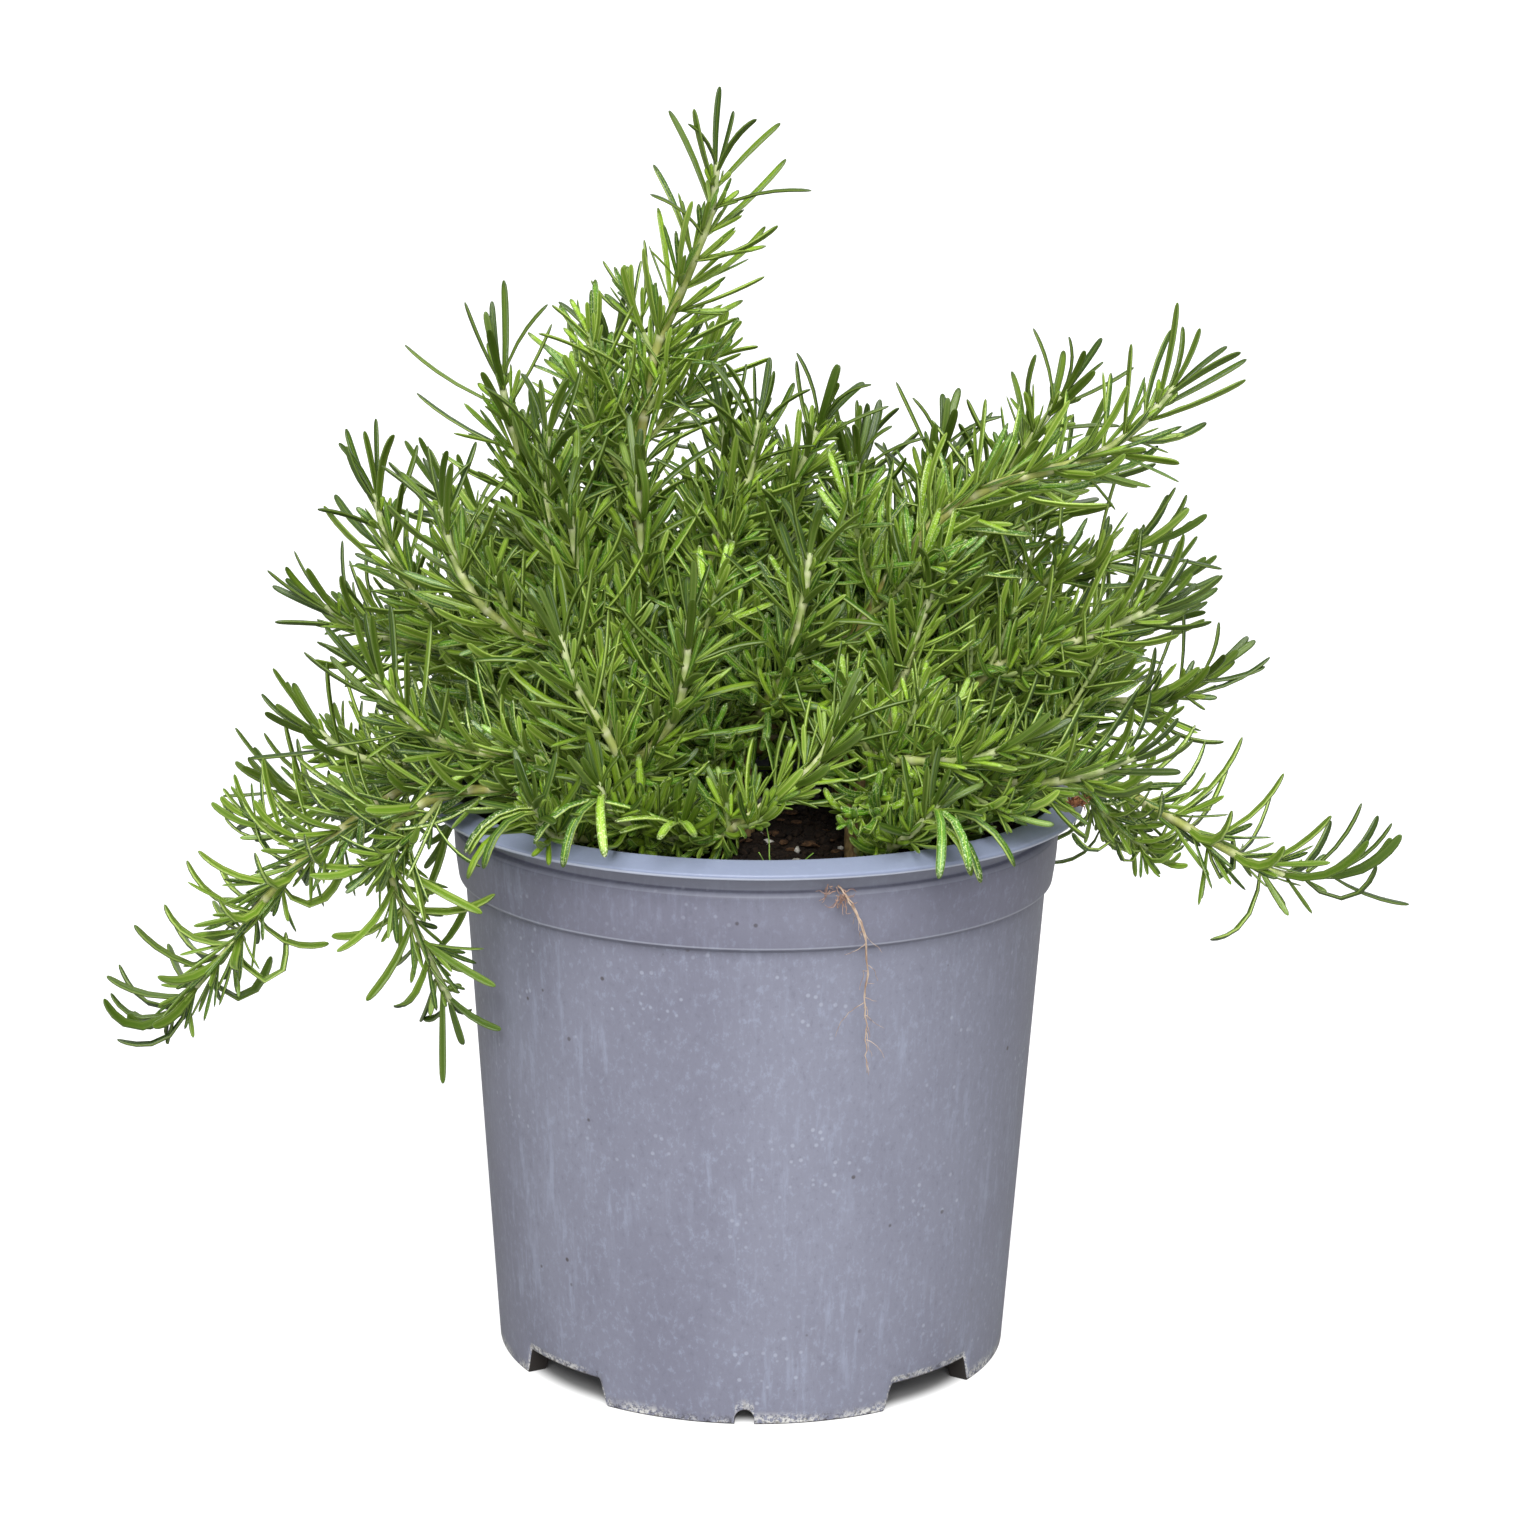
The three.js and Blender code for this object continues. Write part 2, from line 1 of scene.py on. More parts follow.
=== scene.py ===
"""Looks of a rosemary bush in a round nursery pot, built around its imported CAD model.

Metres, +Z up, front towards -Y. A shoot's centre line is read from the rings of its CAD tube, and the pot's
place and size come from its CAD box, so every piece lies where the CAD model says.
"""
import math
import zlib

import bpy
import numpy as np
from mathutils import Matrix, Vector, noise
from mathutils.kdtree import KDTree


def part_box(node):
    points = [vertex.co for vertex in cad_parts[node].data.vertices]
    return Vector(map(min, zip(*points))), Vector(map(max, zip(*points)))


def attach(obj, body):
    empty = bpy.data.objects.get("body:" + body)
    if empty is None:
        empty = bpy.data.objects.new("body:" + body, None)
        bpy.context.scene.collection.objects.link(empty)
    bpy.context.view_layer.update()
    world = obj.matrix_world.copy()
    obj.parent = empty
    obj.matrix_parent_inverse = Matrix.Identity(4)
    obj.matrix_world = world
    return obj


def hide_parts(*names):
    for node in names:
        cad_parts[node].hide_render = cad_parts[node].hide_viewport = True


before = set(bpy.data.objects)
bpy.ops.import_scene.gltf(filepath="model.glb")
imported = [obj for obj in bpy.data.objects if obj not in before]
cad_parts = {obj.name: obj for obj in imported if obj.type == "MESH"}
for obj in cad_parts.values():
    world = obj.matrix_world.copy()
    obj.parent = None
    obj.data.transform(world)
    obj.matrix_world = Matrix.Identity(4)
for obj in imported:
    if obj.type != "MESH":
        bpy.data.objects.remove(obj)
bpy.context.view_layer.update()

MM = 0.001
UP = np.array([0.0, 0.0, 1.0])

pot_low, pot_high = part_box("nursery_pot")
soil_low, soil_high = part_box("root_ball")
AXIS = np.array([(pot_low.x + pot_high.x) / 2, (pot_low.y + pot_high.y) / 2, 0.0])
POT_HEIGHT = pot_high.z
LIP_RADIUS = (pot_high.x - pot_low.x) / 2
SOIL_TOP = soil_high.z


# ---- material graphs ----
def colour(code):
    """The linear colour, with alpha 1, of a six-digit sRGB code."""
    shares = [int(code[i:i + 2], 16) / 255 for i in (0, 2, 4)]
    return tuple(s / 12.92 if s <= 0.04045 else ((s + 0.055) / 1.055) ** 2.4 for s in shares) + (1.0,)


class Graph:
    """Short names for the nodes that the materials are made of."""

    def __init__(self, name):
        self.material = bpy.data.materials.new(name)
        self.material.use_nodes = True
        self.nodes = self.material.node_tree.nodes
        self.links = self.material.node_tree.links
        self.shader = self.nodes["Principled BSDF"]

    def put(self, socket, value):
        """Links a socket to another one, or sets it to a value or a colour code."""
        if isinstance(value, bpy.types.NodeSocket):
            self.links.new(value, socket)
        else:
            socket.default_value = colour(value) if isinstance(value, str) else value

    def node(self, kind, inputs, **settings):
        """The outputs of a new node with these inputs, which are named or numbered, and settings."""
        node = self.nodes.new("ShaderNode" + kind)
        for name, value in settings.items():
            setattr(node, name, value)
        for name, value in inputs.items():
            self.put(node.inputs[name], value)
        return node.outputs

    def attribute(self, name):
        return self.node("Attribute", {}, attribute_name=name)["Fac"]

    def here(self):
        """Object coordinates."""
        return self.node("TexCoord", {})["Object"]

    def place(self, scale=(1, 1, 1)):
        """Object coordinates, stretched by scale."""
        return self.node("Mapping", {"Vector": self.here(), "Scale": scale})["Vector"]

    def height(self):
        """The height above the floor, in metres."""
        return self.node("SeparateXYZ", {"Vector": self.here()})["Z"]

    def noise(self, scale, detail=2.0, roughness=0.5, place=None):
        inputs = {"Vector": place or self.place(), "Scale": scale, "Detail": detail, "Roughness": roughness}
        return self.node("TexNoise", inputs)["Fac"]

    def spots(self, scale):
        """Distance to the nearest point of a scatter."""
        return self.node("TexVoronoi", {"Vector": self.place(), "Scale": scale})["Distance"]

    def math(self, operation, a, b=0.0):
        return self.node("Math", {0: a, 1: b}, operation=operation)[0]

    def times(self, *values):
        result = values[0]
        for value in values[1:]:
            result = self.math("MULTIPLY", result, value)
        return result

    def step(self, value, low, high):
        """0 where value is at low and 1 at high, smooth between. low may be the higher one."""
        ends = (low, high, 0.0, 1.0) if low < high else (high, low, 1.0, 0.0)
        inputs = dict(zip(("Value", "From Min", "From Max", "To Min", "To Max"), (value, *ends)))
        return self.node("MapRange", inputs, interpolation_type="SMOOTHSTEP")["Result"]

    def ramp(self, value, *stops):
        """Colours along value: stops are (position, colour code)."""
        node = self.nodes.new("ShaderNodeValToRGB")
        self.put(node.inputs["Fac"], value)
        elements = node.color_ramp.elements
        while len(elements) < len(stops):
            elements.new(0.5)
        for element, (position, code) in zip(elements, stops):
            element.position = position
            element.color = colour(code)
        return node.outputs["Color"]

    def mix(self, factor, a, b, how="MIX"):
        """The colour a, with the share factor of the colour b."""
        return self.node("Mix", {"Factor": factor, 6: a, 7: b}, data_type="RGBA", blend_type=how)[2]

    def bump(self, height, strength, distance, before=None):
        inputs = {"Height": height, "Strength": strength, "Distance": distance}
        if before:
            inputs["Normal"] = before
        return self.node("Bump", inputs)["Normal"]

    def finish(self, base, roughness, normal=None, gloss=0.3):
        """The material, with these shader inputs."""
        self.put(self.shader.inputs["Specular IOR Level"], gloss)
        self.put(self.shader.inputs["Base Color"], base)
        self.put(self.shader.inputs["Roughness"], roughness)
        if normal:
            self.put(self.shader.inputs["Normal"], normal)
        return self.material


# ---- camera, lights and floor ----
BACKDROP_LIGHT = 0.25  # the backdrop is white, and gives less light than it shows
FLOOR_SIZE = 60
FLOOR_GLOW = 0.8  # so does the floor
PAINTED_SHADOW_EDGE = (0.068, 0.076)  # the glow starts between these distances from the axis, so the floor under the pot stays darker: a painted contact shadow
FLOOR_COLOUR = (0.36, 0.36, 0.36, 1)
WHITE = (1, 1, 1, 1)
# Azimuth right of the front and elevation in degrees, strength in W/m2, and width in degrees.
LIGHTS = {"key": (-5, 48, 3.9, 40), "fill": (4, 18, 1.4, 40), "back": (165, 40, 1.3, 60)}
LIGHT_DISTANCE = 2  # has no effect on a far light
# Metres and degrees.
CAMERA = {"back": 1.1019, "height": 0.4339, "pitch": 13.341, "yaw": 0.167, "roll": 0.657, "field": 22.286}


def make_camera():
    data = bpy.data.cameras.new("camera")
    data.angle = math.radians(CAMERA["field"])
    camera = bpy.data.objects.new("camera", data)
    turn = Matrix.Rotation(math.radians(-CAMERA["yaw"]), 4, "Z")
    tilt = Matrix.Rotation(math.radians(90 - CAMERA["pitch"]), 4, "X")
    roll = Matrix.Rotation(math.radians(CAMERA["roll"]), 4, "Z")
    place = Matrix.Translation((AXIS[0], AXIS[1] - CAMERA["back"], CAMERA["height"]))
    camera.matrix_world = place @ turn @ tilt @ roll
    bpy.context.scene.collection.objects.link(camera)
    bpy.context.scene.camera = camera


def make_far_softbox(name, azimuth, elevation, strength, width):
    """A wide soft light, far away."""
    data = bpy.data.lights.new(name, "SUN")
    data.energy = strength
    data.angle = math.radians(width)
    lamp = bpy.data.objects.new(name, data)
    turn, rise = math.radians(azimuth), math.radians(elevation)
    place = Vector((math.sin(turn) * math.cos(rise), -math.cos(turn) * math.cos(rise), math.sin(rise)))
    lamp.location = place * LIGHT_DISTANCE
    lamp.rotation_euler = (-place).to_track_quat("-Z", "Y").to_euler()
    bpy.context.scene.collection.objects.link(lamp)


def make_studio():
    world = bpy.data.worlds.new("studio")
    world.use_nodes = True
    nodes, links = world.node_tree.nodes, world.node_tree.links
    seen = nodes.new("ShaderNodeMapRange")
    seen.inputs["To Min"].default_value = BACKDROP_LIGHT
    links.new(nodes.new("ShaderNodeLightPath").outputs["Is Camera Ray"], seen.inputs["Value"])
    links.new(seen.outputs["Result"], nodes["Background"].inputs["Strength"])
    nodes["Background"].inputs["Color"].default_value = WHITE
    bpy.context.scene.world = world
    bpy.context.scene.view_settings.view_transform = "Standard"
    for name, values in LIGHTS.items():
        make_far_softbox(name, *values)
    bpy.ops.mesh.primitive_plane_add(size=FLOOR_SIZE)
    floor = bpy.context.object
    floor.name = "floor"
    g = Graph("floor_paper")
    off_axis = g.node("VectorMath", {0: g.here(), 1: AXIS}, operation="DISTANCE")["Value"]
    seen = g.node("LightPath", {})["Is Camera Ray"]
    g.put(g.shader.inputs["Emission Color"], WHITE)
    # No glow under the pot: the painted contact shadow.
    g.put(g.shader.inputs["Emission Strength"], g.times(g.step(off_axis, *PAINTED_SHADOW_EDGE), seen, FLOOR_GLOW))
    floor.data.materials.append(g.finish(FLOOR_COLOUR, 1.0))


# ---- leaf and stem materials ----
LEAF_LIFT = (1.4, 1.37, 0.98, 1)  # what a leaf's colours are multiplied by


def leaf_material():
    g = Graph("rosemary_leaf")
    age, tone = g.attribute("age"), g.attribute("tone")
    along, under = g.attribute("along"), g.attribute("under")
    across = g.math("ABSOLUTE", g.attribute("across"))
    green = g.ramp(age, (0.0, "2f4410"), (0.2, "3e6213"), (0.42, "4b7c17"), (0.72, "4a7632"), (1.0, "5a7f5a"))
    green = g.mix(g.times(g.step(tone, 0.45, 1.0), 0.8), green, "193606")
    green = g.mix(g.times(g.step(tone, 0.35, 0.0), 0.62), green, "8aab2c")
    green = g.mix(g.times(g.step(along, 0.3, 0.0), 0.6), green, "93a23a")
    green = g.mix(g.times(g.step(across, 0.5, 0.8), 0.5), green, "203a08")
    # A pale line along the groove in the middle: a painted highlight.
    green = g.mix(g.times(g.step(across, 0.14, 0.03), 0.6), green, "a5bd60")
    # Pale edges: partly the rolled edge's own colour, partly a painted highlight.
    green = g.mix(g.times(g.step(across, 0.86, 0.98), 0.7), green, "b2c67c")
    green = g.mix(g.times(g.step(along, 0.88, 1.0), 0.8), green, "28360f")
    flecks = g.times(g.step(g.noise(1900, 2, 0.6), 0.54, 0.63), g.step(age, 0.05, 0.7), 0.55)
    green = g.mix(flecks, green, "dbe6d4")
    pale = g.mix(g.times(g.step(across, 0.35, 0.5), g.step(across, 0.75, 0.6), 0.6), "6f8c34", "a3b270")
    pale = g.mix(g.times(g.step(across, 0.16, 0.02), 0.7), pale, "5d8020")
    pale = g.mix(g.times(g.step(tone, 0.5, 1.0), 0.5), pale, "3a5a14")
    base = g.mix(under, green, pale)
    base = g.mix(g.times(g.step(age, 0.34, 0.02), 0.76), base, "2b400e")
    base = g.mix(1.0, base, LEAF_LIFT, "MULTIPLY")
    grain = g.noise(1900, 3, 0.6)
    return g.finish(base, g.math("ADD", g.times(grain, 0.25), 0.27), g.bump(grain, 0.35, 0.0003), 0.5)


def stem_material():
    g = Graph("rosemary_stem")
    age, node = g.attribute("age"), g.attribute("along")
    fresh = g.ramp(age, (0.0, "98ab6e"), (0.3, "a3ab5c"), (0.7, "938f48"), (1.0, "7f6a38"))
    streaks = g.noise(900, 3, place=g.place((1, 1, 0.3)))
    fresh = g.mix(g.times(g.step(streaks, 0.45, 0.7), 0.45), fresh, "7d8f4a")
    fresh = g.mix(g.times(node, 0.65), fresh, "cdcda8")
    return g.finish(fresh, 0.6, g.bump(streaks, 0.35, 0.0003))


# ---- meshes from grids ----
class Grids:
    """Collects closed tubes, each a grid of rings, into one mesh with attributes and OFBake places."""

    FIELDS = ("age", "tone", "across", "along", "under")

    def __init__(self):
        self.points, self.loops, self.sizes, self.slots, self.maps = [], [], [], [], []
        self.fields = {name: [] for name in self.FIELDS}
        self.count = 0

    def add_lathe(self, points, slot=0, cell=(0, 0, 1, 1), **fields):
        """One closed tube, whose rings are mapped as far apart as they are."""
        walked = np.concatenate([[0], np.cumsum(np.linalg.norm(np.diff(points, axis=0), axis=-1).mean(1))])
        self.add_tubes(points[None], np.array([cell], float), walked / walked[-1], slot, **fields)

    def add_tubes(self, points, cells, heights, slot, **fields):
        """points: (tubes, rings, sides, 3). cells: (tubes, 4) boxes on the map. heights: (rings,), 0 to 1."""
        tubes, rings, sides, _ = points.shape
        index = self.count + np.arange(tubes * rings * sides).reshape(tubes, rings, sides)
        self.points.append(points.reshape(-1, 3))
        self.count += points.size // 3
        for name in self.FIELDS:
            values = np.broadcast_to(fields.get(name, 0.0), (tubes, rings, sides))
            self.fields[name].append(values.reshape(-1))
        after = np.roll(index, -1, axis=2)
        walls = np.stack([index[:, :-1], after[:, :-1], after[:, 1:], index[:, 1:]], axis=-1)
        left = np.arange(sides) / sides
        right = left + 1 / sides
        low, high = heights[:-1], heights[1:]
        u = np.broadcast_to(np.stack([left, right, right, left], -1), (rings - 1, sides, 4))
        v = np.broadcast_to(np.stack([low, low, high, high], -1)[:, None], (rings - 1, sides, 4))
        corner, span = cells[:, :2], cells[:, 2:] - cells[:, :2]
        places = np.stack([u, v], -1)[None] * span[:, None, None, None] + corner[:, None, None, None]
        self._add(walls.reshape(-1, 4), places.reshape(-1, 4, 2), slot)
        turn = 2 * np.pi * np.arange(sides) / sides
        disc = 0.5 + 0.04 * np.stack([np.cos(turn), np.sin(turn)], -1)
        for ends, middle in ((index[:, 0, ::-1], 0.0), (index[:, -1], 0.9)):
            spots = disc + (0, middle - 0.45)
            self._add(ends, spots[None] * span[:, None] + corner[:, None], slot)

    def _add(self, faces, places, slot):
        self.loops.append(faces.reshape(-1))
        self.sizes.append(np.full(len(faces), faces.shape[1]))
        self.slots.append(np.full(len(faces), slot))
        self.maps.append(places.reshape(-1, 2))

    def build(self, name, materials):
        mesh = bpy.data.meshes.new(name)
        points, loops = np.concatenate(self.points), np.concatenate(self.loops)
        sizes, maps = np.concatenate(self.sizes), np.concatenate(self.maps)
        mesh.vertices.add(len(points))
        mesh.vertices.foreach_set("co", points.astype(np.float32).ravel())
        mesh.loops.add(len(loops))
        mesh.loops.foreach_set("vertex_index", loops.astype(np.int32))
        mesh.polygons.add(len(sizes))
        mesh.polygons.foreach_set("loop_start", (np.cumsum(sizes) - sizes).astype(np.int32))
        mesh.polygons.foreach_set("material_index", np.concatenate(self.slots).astype(np.int32))
        mesh.update(calc_edges=True)
        mesh.shade_smooth()
        layer = mesh.uv_layers.new(name="OFBake")
        layer.uv.foreach_set("vector", maps.astype(np.float32).ravel())
        for field, values in self.fields.items():
            values = np.concatenate(values)
            if values.any():
                attribute = mesh.attributes.new(field, "FLOAT", "POINT")
                attribute.data.foreach_set("value", values.astype(np.float32))
        for material in materials:
            mesh.materials.append(material)
        piece = bpy.data.objects.new(name, mesh)
        bpy.context.scene.collection.objects.link(piece)
        return piece


def fix(piece, node=None):
    """Makes a piece ride on the part's one body, in place of a CAD node if there is one."""
    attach(piece, "root")
    if node:
        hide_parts(node)


def unit(vectors):
    return vectors / np.maximum(np.linalg.norm(vectors, axis=-1, keepdims=True), 1e-12)


def map_cells(count, left=0.06):
    """Boxes of one size that fill the map right of left, four times as high as wide, a hair apart."""
    columns = max(1, int((1 - left) / math.sqrt((1 - left) / (4 * count))))
    rows = math.ceil(count / columns)
    column, row = np.arange(count) % columns, np.arange(count) // columns
    width, height = (1 - left) / columns, 1 / rows
    return np.stack([
        left + (column + 0.08) * width, (row + 0.04) * height,
        left + (column + 0.92) * width, (row + 0.96) * height,
    ], -1)


# ---- centre lines ----
RING_LINK = 2.9 * MM  # neighbours on a CAD ring are nearer than this, and rings are further apart


def cad_rings(node, sides):
    """Centres and radii of the rings of a CAD tube, from its foot, where it is thickest, to its tip."""
    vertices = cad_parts[node].data.vertices
    points = np.empty(len(vertices) * 3)
    vertices.foreach_get("co", points)
    points = np.unique(points.reshape(-1, 3).round(6), axis=0)
    tree = KDTree(len(points))
    for i, point in enumerate(points):
        tree.insert(point, i)
    tree.balance()
    seen, rings = set(), []
    for i in range(len(points)):
        if i in seen:
            continue
        seen.add(i)
        group, queue = [], [i]
        while queue:
            j = queue.pop()
            group.append(j)
            near = [k for _, k, _ in tree.find_range(points[j], RING_LINK) if k not in seen]
            seen.update(near)
            queue += near
        if len(group) != sides:
            continue
        centre = points[group].mean(0)
        radii = np.linalg.norm(points[group] - centre, axis=1)
        if np.ptp(radii) < 0.05 * radii.mean():
            rings.append((radii.mean(), centre))
    rings.sort(key=lambda ring: -ring[0])
    return np.array([centre for _, centre in rings]), np.array([radius for radius, _ in rings])


class Line:
    """A smooth line through points, carried back beyond the first, and read by distance from its foot."""

    STEP = 1.5 * MM
    FINE = 24  # points between two knots, before they are spaced evenly

    def __init__(self, knots, back=0.0):
        start = knots[0] - unit(knots[1] - knots[0]) * back
        second = [(start + knots[1]) / 2] if back else [knots[0]]
        knots = np.vstack([start, *second, knots[1:]])
        padded = np.vstack([2 * knots[0] - knots[1], knots, 2 * knots[-1] - knots[-2]])
        fine = []
        for a, b, c, d in zip(padded, padded[1:], padded[2:], padded[3:]):
            t = np.linspace(0, 1, self.FINE, endpoint=False)[:, None]
            fine.append(0.5 * (2 * b + (c - a) * t + (2 * a - 5 * b + 4 * c - d) * t**2
                               + (3 * b - a - 3 * c + d) * t**3))
        fine = np.vstack(fine + [knots[-1:]])
        walked = np.concatenate([[0], np.cumsum(np.linalg.norm(np.diff(fine, axis=0), axis=1))])
        self.length = walked[-1]
        count = max(4, int(round(self.length / self.STEP)))
        self.at = np.linspace(0, self.length, count + 1)
        self.points = np.stack([np.interp(self.at, walked, fine[:, k]) for k in range(3)], -1)
        self.along = unit(np.gradient(self.points, axis=0))
        side = unit(np.cross(self.along[0], (0.31, 0.17, 0.94)))
        sides = []
        for along in self.along:
            side = unit(side - np.dot(side, along) * along)
            sides.append(side)
        self.side = np.array(sides)
        self.other = np.cross(self.along, self.side)

    def cut(self, amount):
        """Takes an amount off the tip."""
        kept = self.at <= self.length - amount
        self.points, self.along, self.side, self.other = (
            row[kept] for row in (self.points, self.along, self.side, self.other)
        )
        self.at = self.at[kept]
        self.length = self.at[-1]

    def read(self, distance):
        """Point, direction and the two sideways directions at a distance from the foot."""
        rows = (self.points, self.along, self.side, self.other)
        return [np.array([np.interp(distance, self.at, row[:, k]) for k in range(3)]) for row in rows]


def circles(side, other, sides):
    """A unit circle of points round each place on a line, from its two sideways directions."""
    turn = 2 * np.pi * np.arange(sides) / sides
    return np.cos(turn)[None, :, None] * side[:, None] + np.sin(turn)[None, :, None] * other[:, None]


# ---- space kept clear of leaves ----
# The radii of the pot's outside at its foot, at the top of its wall and at its collar, and of its inside, and
# the heights of the collar's and the lip's lower edges.
WALL = {
    "foot": 75 * MM, "top": 84.8 * MM, "collar_radius": 88 * MM, "inside": 83 * MM,
    "collar": 141.8 * MM, "lip": 162.5 * MM,
}
# A space over a patch of open soil at the front: its middle, and how far it reaches along X, Y and Z.
BARE_SPOT = AXIS + (0.0105, -0.056, 0.168)
BARE_REACH = np.array([18, 42, 12]) * MM
NEAR = 1.6 * MM  # leaves keep this far off the pot and the soil


def over_open_soil(points):
    """Whether each point lies over the patch of open soil."""
    return np.linalg.norm((points - BARE_SPOT) / BARE_REACH, axis=-1) < 1


def touches_pot(points, margin=NEAR):
    """Whether each point is too near the pot's wall or lip, the soil, or the floor."""
    radius = np.hypot(points[..., 0] - AXIS[0], points[..., 1] - AXIS[1])
    z = points[..., 2]
    outer = WALL["foot"] + (WALL["top"] - WALL["foot"]) * np.clip(z / WALL["collar"], 0, 1)
    outer = np.where(z > WALL["collar"] - margin, WALL["collar_radius"], outer)
    outer = np.where(z > WALL["lip"] - margin, LIP_RADIUS, outer)
    inside = (radius < WALL["inside"] - margin) & (z > SOIL_TOP + margin)
    return (z < margin) | ((z < POT_HEIGHT + margin) & (radius < outer + margin) & ~inside)


# ---- leaves ----
# A leaf's cross-section: places across it and over its middle, as shares of its half width, and 1 for the
# underside. Its edges are rolled under, and a groove runs along the middle of the upper face.
LEAF_SECTION = np.array([
    (-1.0, -0.1, 0.3), (-0.86, 0.26, 0), (-0.45, 0.42, 0), (0.0, 0.16, 0), (0.45, 0.42, 0), (0.86, 0.26, 0),
    (1.0, -0.1, 0.3), (0.78, -0.42, 1), (0.42, -0.12, 1), (0.0, -0.32, 1), (-0.42, -0.12, 1),
    (-0.78, -0.42, 1),
])
SMALL_SECTION = np.array([
    (-1.0, -0.05, 0.3), (-0.55, 0.4, 0), (0.0, 0.18, 0), (0.55, 0.4, 0),
    (1.0, -0.05, 0.3), (0.6, -0.35, 1), (0.0, -0.2, 1), (-0.6, -0.35, 1),
])
# Share of the length, and the width there as a share of the widest.
LEAF_OUTLINE = np.array([
    (0.0, 0.5), (0.06, 0.62), (0.22, 0.82), (0.45, 0.94), (0.65, 1.0), (0.8, 0.99), (0.9, 0.9),
    (0.96, 0.7), (0.99, 0.42), (1.0, 0.16),
])
SMALL_OUTLINE = np.array([(0.0, 0.5), (0.2, 0.75), (0.5, 0.96), (0.78, 1.0), (0.94, 0.7), (1.0, 0.2)])


class Leaves:
    """Leaves of one shoot: each one's foot, first and last direction, upper side, size, age and tone."""

    CHECKED = np.linspace(0, 1, 9)  # the places along a leaf that have to be clear of the pot
    LIFTS = (0.45, 0.9)

    def __init__(self, shade=0.0, arch=1.0):
        self.rows = []
        self.shade = shade
        self.arch = arch

    def add(self, foot, first, last, upper, length, width, age, tone):
        tone = self.shade + (1 - self.shade) * tone
        self.rows.append(np.concatenate([foot, unit(first), unit(last), upper, [length, width, age, tone]]))

    def spines(self, rows, shares):
        """Points and directions along each leaf."""
        foot, first, last = rows[:, 0:3], rows[:, 3:6], rows[:, 6:9]
        heading = unit(first[:, None] + (last - first)[:, None] * shares[None, :, None])
        middle = unit(heading[:, 1:] + heading[:, :-1]) * np.diff(shares)[None, :, None]
        walked = np.concatenate([np.zeros_like(middle[:, :1]), np.cumsum(middle, 1)], 1)
        return foot[:, None] + walked * rows[:, None, 12:13], heading

    def clear(self):
        """Lifts the leaves that would run into the pot or the soil, and drops the ones that still do."""
        rows = np.array(self.rows)
        for lift in self.LIFTS:
            points, _ = self.spines(rows, self.CHECKED)
            blocked = touches_pot(points[:, 1:]).any(1)
            rows[blocked, 3:6] = unit(rows[blocked, 3:6] + UP * lift)
            rows[blocked, 6:9] = unit(rows[blocked, 6:9] + UP * 2 * lift)
        points, _ = self.spines(rows, self.CHECKED)
        blocked = touches_pot(points[:, 1:]).any(1) | over_open_soil(points).any(1)
        return rows[~blocked]

    def draw(self, grids, rows, cells, section, outline):
        shares = outline[:, 0]
        points, heading = self.spines(rows, shares)
        side = unit(np.cross(heading[:, 0], rows[:, 9:12]))
        across = []
        for k in range(len(shares)):
            side = unit(side - (side * heading[:, k]).sum(-1, keepdims=True) * heading[:, k])
            across.append(side)
        across = np.stack(across, 1)
        over = np.cross(across, heading)
        half = rows[:, 13, None, None] / 2 * outline[None, :, 1, None]
        x = half * section[None, None, :, 0]
        z = half * section[None, None, :, 1]
        grid = points[:, :, None] + across[:, :, None] * x[..., None] + over[:, :, None] * z[..., None]
        grids.add_tubes(
            grid, cells, shares, 0,
            age=rows[:, 14, None, None], tone=rows[:, 15, None, None], along=shares[None, :, None],
            across=section[None, None, :, 0], under=section[None, None, :, 2],
        )


# ---- shoots ----
SHOOT_SIDES = 5
STEM_SIDES = 10
BACK = 4 * MM  # how far a shoot is carried back into the stem it grows from
AGE_SPAN = 0.13  # a leaf this far from its shoot's tip is old
QUARTER = math.pi / 2
SIDE_LONGEST = 42 * MM
SIDE_SPACING = 4.6 * MM
SIDE_RADII = (0.8 * MM, 0.55 * MM)
SMALL_WIDTH = 1.7 * MM
SIDE_WIDTH = 2.1 * MM
# How a shoot grows, where its style says nothing else, with lengths in mm. leaf and width: its longest and
# widest leaf. spacing: from one leaf pair to the next. open: degrees between leaf and stem. bare: the leafless
# share at the foot. tuft: how many small leaves an axil has. sides: how often it has a side shoot instead, from
# sides_from behind the tip. skirt: side shoots at the foot. hang: leaves that hang down at the tip. shade: above
# 0 for darker leaves, under 0 for paler ones, and the paler leaves of the leader, front and rim shoots are
# painted light on the shoots that face the front light. arch: how far the leaves of a lying shoot bend up. cut:
# what is taken off the tip.
USUAL = {
    "leaf": 28, "width": 2.4, "spacing": 6, "open": 56, "bare": 0.04, "tuft": 1.0, "sides": 0.36,
    "sides_from": 28, "skirt": 3, "hang": 0, "shade": -0.15, "arch": 1.35, "cut": 0,
}
# The front and rim shoots, like the leader, have paler leaves: painted light where the front light falls on the
# bush.
FRONT = {"leaf": 23, "shade": -0.6}
RIM = {"leaf": 20, "spacing": 4, "shade": -0.6}
CROWN = {"leaf": 26, "spacing": 5, "tuft": 1.4, "sides": 0.5, "cut": 8}
DROOPING = {"width": 2.9, "sides": 0.2, "sides_from": 60, "shade": 0.7}
